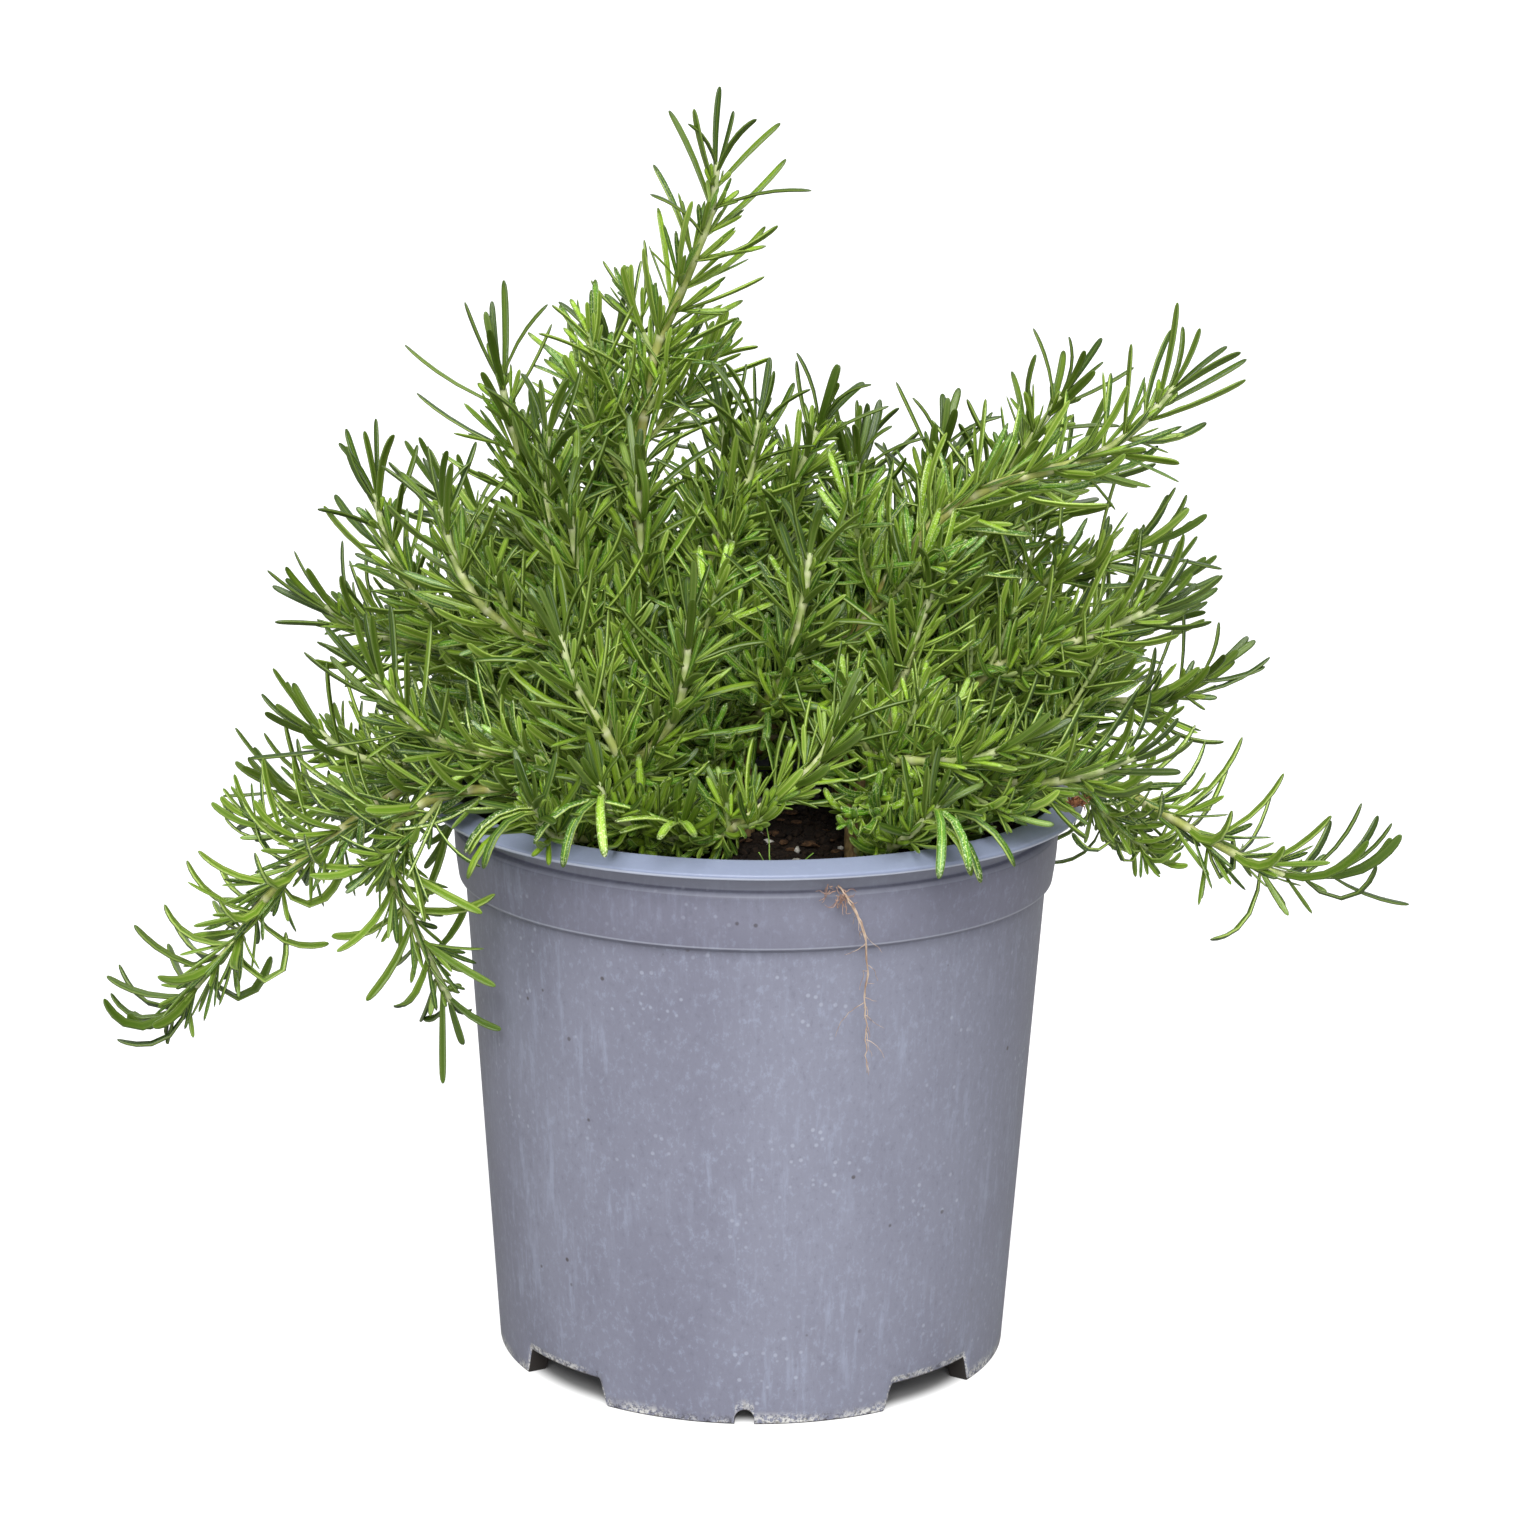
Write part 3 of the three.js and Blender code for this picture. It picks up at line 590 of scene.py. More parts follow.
STYLE = {
    "leader": {"leaf": 32, "spacing": 8, "open": 52, "sides": 0.5, "sides_from": 52, "shade": -0.4},
    "right_main": {"leaf": 33, "spacing": 7.5, "sides_from": 60},
    "left_tall": {"leaf": 33, "spacing": 7, "sides_from": 45},
    "left_upright": {"leaf": 29, "sides": 0.5},
    "left_fork": {"leaf": 29, "sides": 0.5},
    "left_mid": {"leaf": 30, "spacing": 7},
    "left_trailing": {**DROOPING, "leaf": 29, "width": 3.0, "spacing": 5.8, "tuft": 0.9, "arch": 2.2},
    "right_trailing": {**DROOPING, "leaf": 31, "spacing": 7.5, "tuft": 0.7, "sides": 0.15, "sides_from": 65,
                       "arch": 2.4},
    "left_hanging": {**DROOPING, "leaf": 28, "spacing": 6.5, "tuft": 0.8, "sides_from": 50, "arch": 0.6},
    "front_centre": {**FRONT, "spacing": 4.5, "skirt": 5},
    "front_right": {**FRONT, "spacing": 5, "skirt": 6},
    "front_right_rim": {**RIM, "skirt": 4, "hang": 6},
    "rim_right": {**RIM, "skirt": 5},
    "front_left_rim": {**RIM, "hang": 4},
    "front_left_small": {**RIM, "skirt": 5, "hang": 3},
    "over_lip": {**RIM, "hang": 6},
    "centre_upright": CROWN,
    "centre_leaning": CROWN,
    "top_middle": CROWN,
    "top_right": CROWN,
    "top_far_right": CROWN,
    "top_left": {"leaf": 26, "sides": 0.6},
    "centre_inner": {"leaf": 27, "sides": 0.6},
    "back_left_upright": {"leaf": 25, "sides": 0.6},
    "back_centre": {"leaf": 25, "cut": 8},
    "back_right_upright": {"leaf": 25, "cut": 8},
}


def add_pair(leaves, line, at, twist, opening, length, width, age, rng):
    """Two opposite leaves at one node of a shoot."""
    place, along, side, other = line.read(at)
    upright = max(0.0, along[2])
    outwards = []
    for turn in (0, math.pi):
        angle = twist + turn + rng.normal(0, 0.14)
        outward = math.cos(angle) * side + math.sin(angle) * other
        spread = math.radians(opening + rng.normal(0, 7))
        first = math.cos(spread) * along + math.sin(spread) * outward
        bend = rng.normal(0.1, 1.0)
        last = first + (outward * max(bend, 0) - along * min(bend, 0)) * (0.4 + 0.6 * upright)
        last = last + UP * (1 - upright) * leaves.arch * rng.uniform(0.4, 1.6) + rng.normal(0, 0.2, 3)
        leaves.add(place + outward * 0.4 * MM, first, last, along, length * rng.uniform(0.8, 1.08),
                   width * rng.uniform(0.88, 1.1), age, rng.random())
        outwards.append(outward)
    return place, along, outwards


def add_tuft(leaves, place, along, outward, reach, count, age, rng):
    """Small leaves that fan out from a leaf's axil."""
    bud = unit(along + outward * rng.uniform(0.5, 1.0) + rng.normal(0, 0.12, 3))
    flank = unit(np.cross(bud, along + 0.01))
    front = np.cross(flank, bud)
    for k in range(count):
        turn = k * QUARTER * 1.05 + rng.uniform(0, 0.5)
        out = math.cos(turn) * flank + math.sin(turn) * front
        spread = rng.uniform(0.15, 0.6)
        first = math.cos(spread) * bud + math.sin(spread) * out
        last = first + out * 0.3 * rng.uniform(-0.3, 1.0) + UP * 0.3 * rng.random()
        foot = place + outward * 1.3 * MM + along * rng.uniform(0.5, 1.5) * MM
        young = 0.22 + 0.25 * age * rng.random()
        leaves.add(foot, first, last, bud, reach * rng.uniform(0.45, 1.0) + 2 * MM,
                   SMALL_WIDTH * rng.uniform(0.8, 1.15), young, rng.random())


def side_shoot(place, along, outward, length, rng):
    """A short line that leaves an axil and bends up."""
    heading = unit(along * rng.uniform(0.5, 1.0) + outward * rng.uniform(0.7, 1.1) + rng.normal(0, 0.1, 3))
    knots = [place]
    for _ in range(4):
        heading = unit(heading + UP * 0.16 + rng.normal(0, 0.06, 3))
        knots.append(knots[-1] + heading * length / 4)
    return Line(np.array(knots))


def grow_pairs(line, style, main, small, rng):
    """Leaf pairs from tip to foot, each a quarter turn on, with a tuft or a side shoot in each axil.

    Gives the places of the pairs, and the side shoots with their ages.
    """
    nodes, sides = [], []
    spacing, longest = style["spacing"] * MM, style["leaf"] * MM
    from_tip, i, twist = 1 * MM, 0, rng.uniform(0, 2 * math.pi)
    while from_tip < line.length * (1 - style["bare"]):
        nodes.append(line.length - from_tip)
        age = min(1.0, max(0.0, from_tip / AGE_SPAN + rng.uniform(-0.08, 0.08)))
        size = min(1.0, 0.62 + 0.16 * i)
        width = style["width"] * MM * (0.65 + 0.35 * size)
        opening = min(style["open"], 12 + 10 * i) + 12 * max(0.0, age - 0.6)
        place, along, outwards = add_pair(
            main, line, nodes[-1], twist, opening, longest * size, width, age, rng,
        )
        for outward in outwards:
            if i < 2:
                continue
            ready = min(1.0, (i - 1) / 4)
            if from_tip > style["sides_from"] * MM and rng.random() < style["sides"]:
                reach = min(SIDE_LONGEST, 0.45 * from_tip) * rng.uniform(0.45, 1.0)
                sides.append((side_shoot(place, along, outward, reach, rng), age))
            else:
                count = int(rng.integers(3, 8) * style["tuft"] * (0.4 + 0.6 * ready))
                add_tuft(small, place, along, outward, longest * 0.62 * ready, count, age, rng)
        from_tip += spacing * min(1.0, 0.25 + 0.22 * i) * rng.uniform(0.8, 1.2)
        twist += QUARTER + rng.normal(0, 0.08)
        i += 1
    return nodes, sides


def add_hanging(leaves, line, count, rng):
    """Long leaves that hang down outside the lip from a shoot's tip."""
    for _ in range(count):
        place = line.read(line.length - rng.uniform(1, 8) * MM)[0]
        radial = unit((place - AXIS) * (1, 1, 0))
        swing = np.cross(radial, UP) * rng.normal(0, 0.45)
        leaves.add(place, radial + swing + UP * 0.3, radial * 0.3 + swing - UP * 1.4, UP,
                   rng.uniform(24, 31) * MM, 2.7 * MM, rng.uniform(0.2, 0.6), rng.random())


def skirt_shoots(line, count, rng):
    """Side shoots that spread from a shoot's foot, with their ages."""
    sides = []
    for _ in range(count):
        place, along, side, other = line.read(rng.uniform(2, 14) * MM)
        turn = rng.uniform(0, 2 * math.pi)
        outward = math.cos(turn) * side + math.sin(turn) * other - UP * rng.uniform(0.1, 0.6)
        sides.append((side_shoot(place, along * 0.4, outward, rng.uniform(20, 36) * MM, rng), 0.8))
    return sides


def add_side_leaves(branch, age, longest, main, small, rng):
    """Leaf pairs along a side shoot, from its tip to its foot."""
    at, i, twist = branch.length - 0.5 * MM, 0, rng.uniform(0, 2 * math.pi)
    while at > 3 * MM:
        size = min(1.0, 0.45 + 0.14 * i)
        opening, width = min(58, 14 + 10 * i), SIDE_WIDTH * (0.7 + 0.3 * size)
        place, along, outwards = add_pair(
            main, branch, at, twist, opening, 0.78 * longest * size, width, 0.5 * age, rng,
        )
        for outward in outwards:
            if i > 1:
                add_tuft(small, place, along, outward, 0.35 * longest, int(rng.integers(1, 4)), age, rng)
        at -= SIDE_SPACING * min(1.0, 0.35 + 0.2 * i) * rng.uniform(0.8, 1.2)
        twist += QUARTER + rng.normal(0, 0.1)
        i += 1


def grow(line, style, rng):
    """A shoot's leaves, its small leaves, the places of its leaf pairs, and its side shoots."""
    main, small = Leaves(style["shade"], style["arch"]), Leaves(style["shade"])
    nodes, sides = grow_pairs(line, style, main, small, rng)
    add_hanging(main, line, style["hang"], rng)
    sides += skirt_shoots(line, style["skirt"], rng)
    sides = [(branch, age) for branch, age in sides
             if not touches_pot(branch.points[1:]).any() and not over_open_soil(branch.points).any()]
    for branch, age in sides:
        add_side_leaves(branch, age, style["leaf"] * MM, main, small, rng)
    return main, small, np.array(nodes), [branch for branch, _ in sides]


def draw_stem(grids, line, radii, nodes, cell):
    """A slightly square green stem that swells at its leaf nodes."""
    share = line.at / line.length
    radius = np.interp(share, np.linspace(0, 1, len(radii)), radii)
    radius = np.minimum(radius, radius * 0.55 + (line.length - line.at) * 0.05 + 0.25 * MM)
    near = np.exp(-((line.at[:, None] - nodes[None]) / (0.9 * MM)) ** 2).max(1)
    radius = radius * (1 + 0.16 * near)
    square = 1 + 0.07 * np.cos(8 * np.pi * np.arange(STEM_SIDES) / STEM_SIDES)
    ring = circles(line.side, line.other, STEM_SIDES) * (radius[:, None] * square)[..., None]
    age = np.clip((line.length - line.at) / AGE_SPAN, 0, 1)
    grids.add_tubes((line.points[:, None] + ring)[None], np.array([cell]), share, 1,
                    age=age[None, :, None], along=near[None, :, None])


def make_shoot(node, materials):
    """A shoot on its CAD centre line. Its map has the stems in a strip on the left and the leaves beside it."""
    centres, radii = cad_rings(node, SHOOT_SIDES)
    line = Line(centres, back=BACK)
    style = {**USUAL, **STYLE.get(node.removeprefix("shoot_"), {})}
    line.cut(style["cut"] * MM)
    rng = np.random.default_rng(zlib.crc32(node.encode()))
    main, small, nodes, sides = grow(line, style, rng)
    main_rows, small_rows = main.clear(), small.clear()
    grids = Grids()
    draw_stem(grids, line, radii, nodes, (0.004, 0.004, 0.052, 0.6))
    for k, branch in enumerate(sides):
        low, high = np.interp([k, k + 0.9], [0, len(sides)], [0.61, 0.996])
        draw_stem(grids, branch, SIDE_RADII, np.zeros(1), (0.004, low, 0.052, high))
    cells = map_cells(len(main_rows) + len(small_rows))
    main.draw(grids, main_rows, cells[:len(main_rows)], LEAF_SECTION, LEAF_OUTLINE)
    small.draw(grids, small_rows, cells[len(main_rows):], SMALL_SECTION, SMALL_OUTLINE)
    fix(grids.build(node.replace("shoot_", "leafy_shoot_"), materials), node)


# ---- woody stems ----
WOODY_SIDES = 8
BARK_SIDES = 18
BARK_KNOTS = 5


def make_woody_stem(node, bark):
    """Old wood with ridges along it, which goes a little way into the soil."""
    centres, radii = cad_rings(node, WOODY_SIDES)
    line = Line(centres, back=3 * MM)
    rng = np.random.default_rng(zlib.crc32(node.encode()))
    share = line.at / line.length
    radius = np.interp(share, np.linspace(0, 1, len(radii)), radii)
    turn = 2 * np.pi * np.arange(BARK_SIDES) / BARK_SIDES
    twisted = turn[None] + 1.5 * share[:, None]
    ridges = 1 + 0.07 * np.sin(5 * twisted + rng.uniform(0, 6)) + 0.05 * np.sin(9 * twisted)
    knots = rng.uniform(0.1, 0.9, BARK_KNOTS)
    swelling = np.exp(-((share[:, None] - knots[None]) * line.length / (1.6 * MM)) ** 2).max(1)
    radius = radius[:, None] * (ridges + 0.15 * swelling[:, None] + rng.normal(0, 0.02, ridges.shape))
    grids = Grids()
    grids.add_lathe(line.points[:, None] + circles(line.side, line.other, BARK_SIDES) * radius[..., None])
    fix(grids.build(node.replace("woody_stem_", "old_wood_"), [bark]), node)


# ---- pot ----
# Corners of half the pot's section, from the inside of the base over the lip to the underside of the base:
# radius, height and rounding in mm.
POT_SECTION = (
    (0.5, 10, 0), (73.6, 10, 2), (83.1, 141.8, 1), (84.1, 156.4, 1.5), (86.4, 166.6, 0.8),
    (87.7, 168, 0.7), (95, 165.3, 0.8), (94.7, 163.9, 0.4), (86.6, 163.3, 0.5), (85.7, 158.9, 0.6),
    (87.2, 158.2, 0.4), (87.9, 157.2, 0.7), (87.6, 150, 8), (86.5, 142.2, 0.5), (84.6, 141.2, 0.4),
    (75.83, 12, 0), (75, 0, 0.7), (69, 0, 0.6), (68.8, 8, 0.4), (0.5, 8, 0),
)
OUTLINE_MIDDLE = 60  # from this point on, the rounded section runs down the outside
FOOT_TOP = 12 * MM
FOOT_OUTER = WALL["foot"] - 5.9 * MM  # between these two radii the foot ring has its inner face
FOOT_INNER = WALL["foot"] - 6.3 * MM
BASE_UNDERSIDE = 8 * MM
BASE_FLOOR = 10 * MM
# The gaps between the feet and the notches in them, in mm along the ring, with the feet's turn in degrees.
FOOT = {"count": 4, "turn": -1.2, "gap": 17.6, "flank": 3.0, "height": 7.9, "notch": 5.6, "notch_height": 4.2}
FOOT_PITCH = 2 * np.pi / FOOT["count"]
FOOT_RADIUS = WALL["foot"] / MM
DRAIN = {"count": 8, "ring": 50, "radius": 5}
DRAIN_SIDES = 32


def rounded(corners, arc=5, longest=7 * MM):
    """The outline through the corners, each one rounded off, with no stretch longer than longest."""
    corners = np.array(corners) * MM
    places, roundings = corners[:, :2], corners[:, 2]
    outline = [places[0]]
    for i in range(1, len(places) - 1):
        here = places[i]
        before, after = places[i - 1] - here, places[i + 1] - here
        reach = min(roundings[i], 0.45 * np.linalg.norm(before), 0.45 * np.linalg.norm(after))
        if reach == 0:
            outline.append(here)
            continue
        start, end = here + unit(before) * reach, here + unit(after) * reach
        for t in np.linspace(0, 1, arc):
            outline.append((1 - t) ** 2 * start + 2 * t * (1 - t) * here + t**2 * end)
    outline.append(places[-1])
    fine = [outline[0]]
    for a, b in zip(outline, outline[1:]):
        pieces = max(1, math.ceil(np.linalg.norm(b - a) / longest))
        fine += [a + (b - a) * (k + 1) / pieces for k in range(pieces)]
    return np.array(fine)


def foot_lift(angle):
    """How high the foot ring's lower edge is at each angle from the front: gaps, and a notch in each foot."""
    turn = math.radians(FOOT["turn"])
    from_foot = (angle - turn + FOOT_PITCH / 2) % FOOT_PITCH - FOOT_PITCH / 2
    from_gap = (angle - turn) % FOOT_PITCH - FOOT_PITCH / 2
    rise = np.clip((FOOT["gap"] - np.abs(from_gap) * FOOT_RADIUS) / FOOT["flank"], 0, 1)
    gap = FOOT["height"] * (0.25 * rise + 0.75 * rise**2 * (3 - 2 * rise))
    half = FOOT["notch"] / 2
    across = np.clip(np.abs(from_foot) * FOOT_RADIUS / half, 0, 1)
    notch = np.where(across < 1, FOOT["notch_height"] - half + half * np.sqrt(1 - across**2), 0)
    return np.maximum(gap, notch) * MM


def pot_angles():
    """Angles round the pot, close together where the foot ring's edge changes."""
    angles = list(np.linspace(0, 2 * np.pi, 288, endpoint=False))
    flank = np.arange(FOOT["gap"] - FOOT["flank"] - 0.6, FOOT["gap"] + 0.6, 0.3)
    notch = np.concatenate([np.arange(-2.7, 2.8, 0.3), [-3.1, -2.85, -2.8, -2.78, 2.78, 2.8, 2.85, 3.1]])
    for i in range(FOOT["count"]):
        foot = math.radians(FOOT["turn"]) + i * FOOT_PITCH
        gap = foot + FOOT_PITCH / 2
        angles += [*(foot + notch / FOOT_RADIUS), *(gap + flank / FOOT_RADIUS), *(gap - flank / FOOT_RADIUS)]
    return np.unique(np.round(np.array(angles) % (2 * np.pi), 5))


def make_pot(plastic):
    section, angles = rounded(POT_SECTION), pot_angles()
    radius, height = section[:, 0, None], section[:, 1, None]
    lift = foot_lift(angles)[None]
    outside = np.arange(len(section))[:, None] > OUTLINE_MIDDLE
    ring = (radius > FOOT_INNER) & (height < FOOT_TOP) & outside
    reach = np.where(ring & (radius < FOOT_OUTER), BASE_UNDERSIDE, FOOT_TOP)
    height = height + np.where(ring, lift * np.clip(1 - height / reach, 0, 1), 0)
    edge = np.where(ring, height - lift, height)
    wave = 0.12 * np.sin(3 * angles + 1) + 0.08 * np.sin(7 * angles + 2)
    upper = np.clip(height / POT_HEIGHT, 0, 1) ** 2
    radius = radius + wave[None] * MM * upper
    height = height + 0.25 * MM * np.sin(2 * angles + 0.6)[None] * upper**4
    points = [AXIS[0] + radius * np.sin(angles), AXIS[1] - radius * np.cos(angles), height]
    grids = Grids()
    grids.add_lathe(np.stack(points, -1), along=edge)
    piece = grids.build("moulded_pot", [plastic])
    cut_drain_holes(piece, plastic)
    piece.data.set_sharp_from_angle(angle=math.radians(38))
    fix(piece, "nursery_pot")


def cut_drain_holes(piece, plastic):
    turn = 2 * np.pi * np.arange(DRAIN_SIDES) / DRAIN_SIDES
    grids = Grids()
    for i in range(DRAIN["count"]):
        angle = 2 * np.pi * i / DRAIN["count"] + math.radians(FOOT["turn"])
        centre = AXIS + np.array([math.sin(angle), -math.cos(angle), 0]) * DRAIN["ring"] * MM
        ring = centre + DRAIN["radius"] * MM * np.stack([np.cos(turn), np.sin(turn), 0 * turn], -1)
        ends = [ring + UP * (BASE_UNDERSIDE - 2 * MM), ring + UP * (BASE_FLOOR + 2 * MM)]
        grids.add_lathe(np.stack(ends), cell=(0.01, 0.97, 0.03, 0.99))
    cutter = grids.build("drain_cutter", [plastic])
    modifier = piece.modifiers.new("drain", "BOOLEAN")
    modifier.object = cutter
    modifier.operation = "DIFFERENCE"
    modifier.solver = "EXACT"
    bpy.context.view_layer.objects.active = piece
    bpy.ops.object.modifier_apply(modifier="drain")
    bpy.data.objects.remove(cutter)


# Heights between which the pot is painted paler, and how much: painted highlights along the collar's lower edge
# and the ledge under its neck, painted light over the neck, where the lip's shade falls, and the lip's lower
# edge, partly wear and partly a painted highlight.
WEAR_AND_PAINTED_HIGHLIGHTS = ((0.1422, 0.143, 0.4), (0.1572, 0.1586, 0.25), (0.1588, 0.1634, 0.3), (0.1638, 0.1648, 0.6))


def plastic_material():
    g = Graph("moulded_blue_grey_plastic")
    height = g.height()
    cloud = g.noise(14, 4, 0.6, place=g.place((1, 1, 0.6)))
    base = g.mix(g.step(cloud, 0.3, 0.7), "707180", "7d7f8e")
    streaks = g.noise(300, 4, 0.65, place=g.place((1, 1, 0.14)))
    mottle = g.noise(520, 4, 0.7, place=g.place((1, 1, 0.7)))
    haze = g.times(g.step(streaks, 0.5, 0.72), g.step(g.noise(24, 3), 0.4, 0.62), 0.42)
    base = g.mix(haze, base, "959caf")
    base = g.mix(g.times(g.step(mottle, 0.5, 0.72), 0.36), base, "969eb1")
    base = g.mix(g.times(g.step(mottle, 0.44, 0.3), 0.3), base, "5f606e")
    scuffs = g.times(g.step(g.spots(300), 0.24, 0.1), g.step(g.noise(40, 3), 0.5, 0.62), 0.4)
    base = g.mix(scuffs, base, "abb1bf")
    stains = g.times(g.step(g.noise(9, 5, 0.7), 0.6, 0.72), 0.3)
    base = g.mix(stains, base, "685f5c")
    specks = g.times(g.step(g.spots(120), 0.1, 0.05), g.step(g.noise(31, 2), 0.56, 0.62), 0.75)
    base = g.mix(specks, base, "3c342c")
    edge, foot = g.attribute("along"), g.step(height, 0.014, 0.011)
    crust = g.noise(900, 5, 0.75)
    rim = g.step(g.math("ADD", edge, g.times(g.noise(60, 2), 0.004)), 0.0062, 0.0026)
    lime = g.times(g.step(crust, 0.45, 0.53), rim, g.step(g.noise(90, 3), 0.34, 0.5), foot)
    base = g.mix(g.times(lime, 0.95), base, "cbcac6")
    dirt = g.times(g.step(g.noise(700, 4, 0.7), 0.5, 0.6), g.step(edge, 0.0042, 0.0), foot)
    base = g.mix(g.times(dirt, 0.75), base, "35302d")
    # A near-black line along the foot ring's lower edge: partly grime, partly a painted contact shadow where the
    # pot meets the floor.
    base = g.mix(g.times(g.step(edge, 0.0006, 0.0002), foot), base, "2c2826")
    # The lip's band, which faces up to the light, is painted paler: painted light.
    lip = g.step(height, WALL["lip"] + 0.5 * MM, WALL["lip"] + 1.2 * MM)
    base = g.mix(g.times(lip, 0.8), base, "8791aa")
    # Pale bands at these heights: painted highlights and painted light, and wear on the lip's lower edge.
    for low, high, amount in WEAR_AND_PAINTED_HIGHLIGHTS:
        painted_highlight_and_wear = g.times(g.step(height, low, low + 0.3 * MM), g.step(height, high, high - 0.3 * MM), amount)
        base = g.mix(painted_highlight_and_wear, base, "c3c8d4")
    # The collar band is painted darker: partly painted shade under the lip, partly the collar's cleaner surface.
    collar = g.step(height, WALL["collar"], WALL["collar"] + 0.6 * MM)
    base = g.mix(g.times(collar, g.math("SUBTRACT", 1.0, lip), 0.3), base, "5f5d6d")
    grain = g.noise(1500, 3, 0.6)
    roughness = g.math("SUBTRACT", g.math("ADD", g.times(cloud, 0.18), 0.36), g.times(lip, 0.14))
    normal = g.bump(grain, 0.12, 0.0002, before=g.bump(mottle, 0.12, 0.0004))
    return g.finish(base, roughness, normal)


# ---- soil ----
SOIL_EDGE = 82.4 * MM
SOIL_BOTTOM = 72.9 * MM
CRUMBS, CHIPS, GRAINS = 1500, 170, 60
LUMP = (5, 7)  # rings and sides of a lump
# Where each moss patch is, how far it reaches in mm, and its number of blades.
MOSS = (
    (18, -70, 5, 260), (-3, -72, 3.5, 150), (34, -66, 4, 160), (-30, -60, 5, 160), (52, 40, 6, 200),
    (-50, 44, 6, 200), (8, 62, 5, 160), (60, -20, 4, 120),
)


def soil_height(x, y):
    """Height of the soil's surface over or under its CAD top, for a point measured from the pot's axis."""
    fall = -3.2 * MM * max(0.0, math.hypot(x, y) / SOIL_EDGE) ** 4
    wide = noise.noise(Vector((x, y, 0)) * 35) * 1.6 * MM
    fine = noise.noise(Vector((x, y, 0.3)) * 160) * 1.1 * MM
    finest = noise.noise(Vector((x, y, 0.7)) * 420) * 0.6 * MM
    return fall + wide + (fine + finest)


def scattered(rng, count):
    """Places spread evenly over the soil, measured from the pot's axis."""
    radius = SOIL_EDGE * 0.96 * np.sqrt(rng.random(count))
    turn = rng.uniform(0, 2 * np.pi, count)
    return np.stack([radius * np.cos(turn), radius * np.sin(turn)], -1)


def add_lumps(grids, rng, places, sizes, flatness, slot, cell):
    """Uneven lumps, each lying on the soil at its own angle."""
    rise = np.linspace(0.12, 0.88, LUMP[0])[:, None] * np.pi
    turn = 2 * np.pi * np.arange(LUMP[1]) / LUMP[1]
    ball = np.stack([np.sin(rise) * np.cos(turn), np.sin(rise) * np.sin(turn), -np.cos(rise) + 0 * turn], -1)
    points = np.empty((len(places), *LUMP, 3))
    for i, ((x, y), size) in enumerate(zip(places, sizes)):
        stretch = np.array([rng.uniform(0.8, 1.5), rng.uniform(0.6, 1.0), flatness * rng.uniform(0.7, 1.2)])
        rough = ball * stretch * (1 + rng.normal(0, 0.13, (*LUMP, 1)))
        spin = Matrix.Rotation(rng.uniform(0, 6.28), 3, "Z") @ Matrix.Rotation(rng.normal(0, 0.4), 3, "X")
        middle = AXIS + (x, y, SOIL_TOP + soil_height(x, y) + 0.2 * size)
        points[i] = rough @ np.array(spin).T * size / 2 + middle
    cells = np.repeat(np.array([cell], float), len(places), 0)
    grids.add_tubes(points, cells, np.linspace(0, 1, LUMP[0]), slot)


def add_moss(grids, rng, slot, cell):
    """Short upright moss blades in a few patches."""
    for px, py, reach, count in MOSS:
        offsets = rng.normal(0, reach * MM, (count, 2))
        points = np.empty((count, 3, 4, 3))
        turn = 2 * np.pi * np.arange(4) / 4
        for i, (dx, dy) in enumerate(offsets):
            x, y = px * MM + dx, py * MM + dy
            foot = AXIS + (x, y, SOIL_TOP + soil_height(x, y))
            lean = unit(np.array([rng.normal(0, 0.5), rng.normal(0, 0.5), 1.0]))
            height = rng.uniform(1.0, 2.8) * MM
            for k, (share, radius) in enumerate(((0, 0.28), (0.5, 0.3), (1, 0.08))):
                ring = np.stack([np.cos(turn), np.sin(turn), 0 * turn], -1) * radius * MM
                points[i, k] = foot + lean * height * share + ring
        cells = np.repeat(np.array([cell], float), count, 0)
        grids.add_tubes(points, cells, np.array([0, 0.5, 1]), slot)


def make_soil():
    rng = np.random.default_rng(7)
    turn = np.linspace(0, 2 * np.pi, 150, endpoint=False)
    rows = []
    for radius in np.linspace(SOIL_EDGE, 0.4 * MM, 56):
        x, y = radius * np.cos(turn), radius * np.sin(turn)
        z = np.array([SOIL_TOP + soil_height(a, b) for a, b in zip(x, y)])
        rows.append(np.stack([AXIS[0] + x, AXIS[1] + y, z], -1))
    bottom = []
    for radius, z in ((0.4 * MM, soil_low.z), (SOIL_BOTTOM, soil_low.z), (SOIL_EDGE, WALL["collar"])):
        ring = [AXIS[0] + radius * np.cos(turn), AXIS[1] + radius * np.sin(turn), 0 * turn + z]
        bottom.append(np.stack(ring, -1))
    grids = Grids()
    grids.add_lathe(np.stack(bottom + rows), 0, (0.0, 0.0, 1.0, 0.8))
    for slot, (count, smallest, largest, flatness, left, right) in enumerate((
        (CRUMBS, 0.8, 3.6, 0.75, 0, 0.5), (CHIPS, 2, 5.5, 0.25, 0.51, 0.7),
        (GRAINS, 1.2, 3.2, 0.85, 0.71, 0.85),
    )):
        places = scattered(rng, count)
        sizes = rng.uniform(smallest, largest, count) * MM
        add_lumps(grids, rng, places, sizes, flatness, slot, (left, 0.81, right, 0.99))
    add_moss(grids, rng, 3, (0.86, 0.81, 0.99, 0.99))
    piece = grids.build("peat_with_crumbs", [
        peat_material("moist_peat", "17110c", "33261b"), peat_material("bark_chips", "3b2a1c", "6b4f35"),
        peat_material("perlite", "b9b5aa", "e4e2da"), peat_material("moss", "3f5c1e", "7c9a3a"),
    ])
    fix(piece, "root_ball")


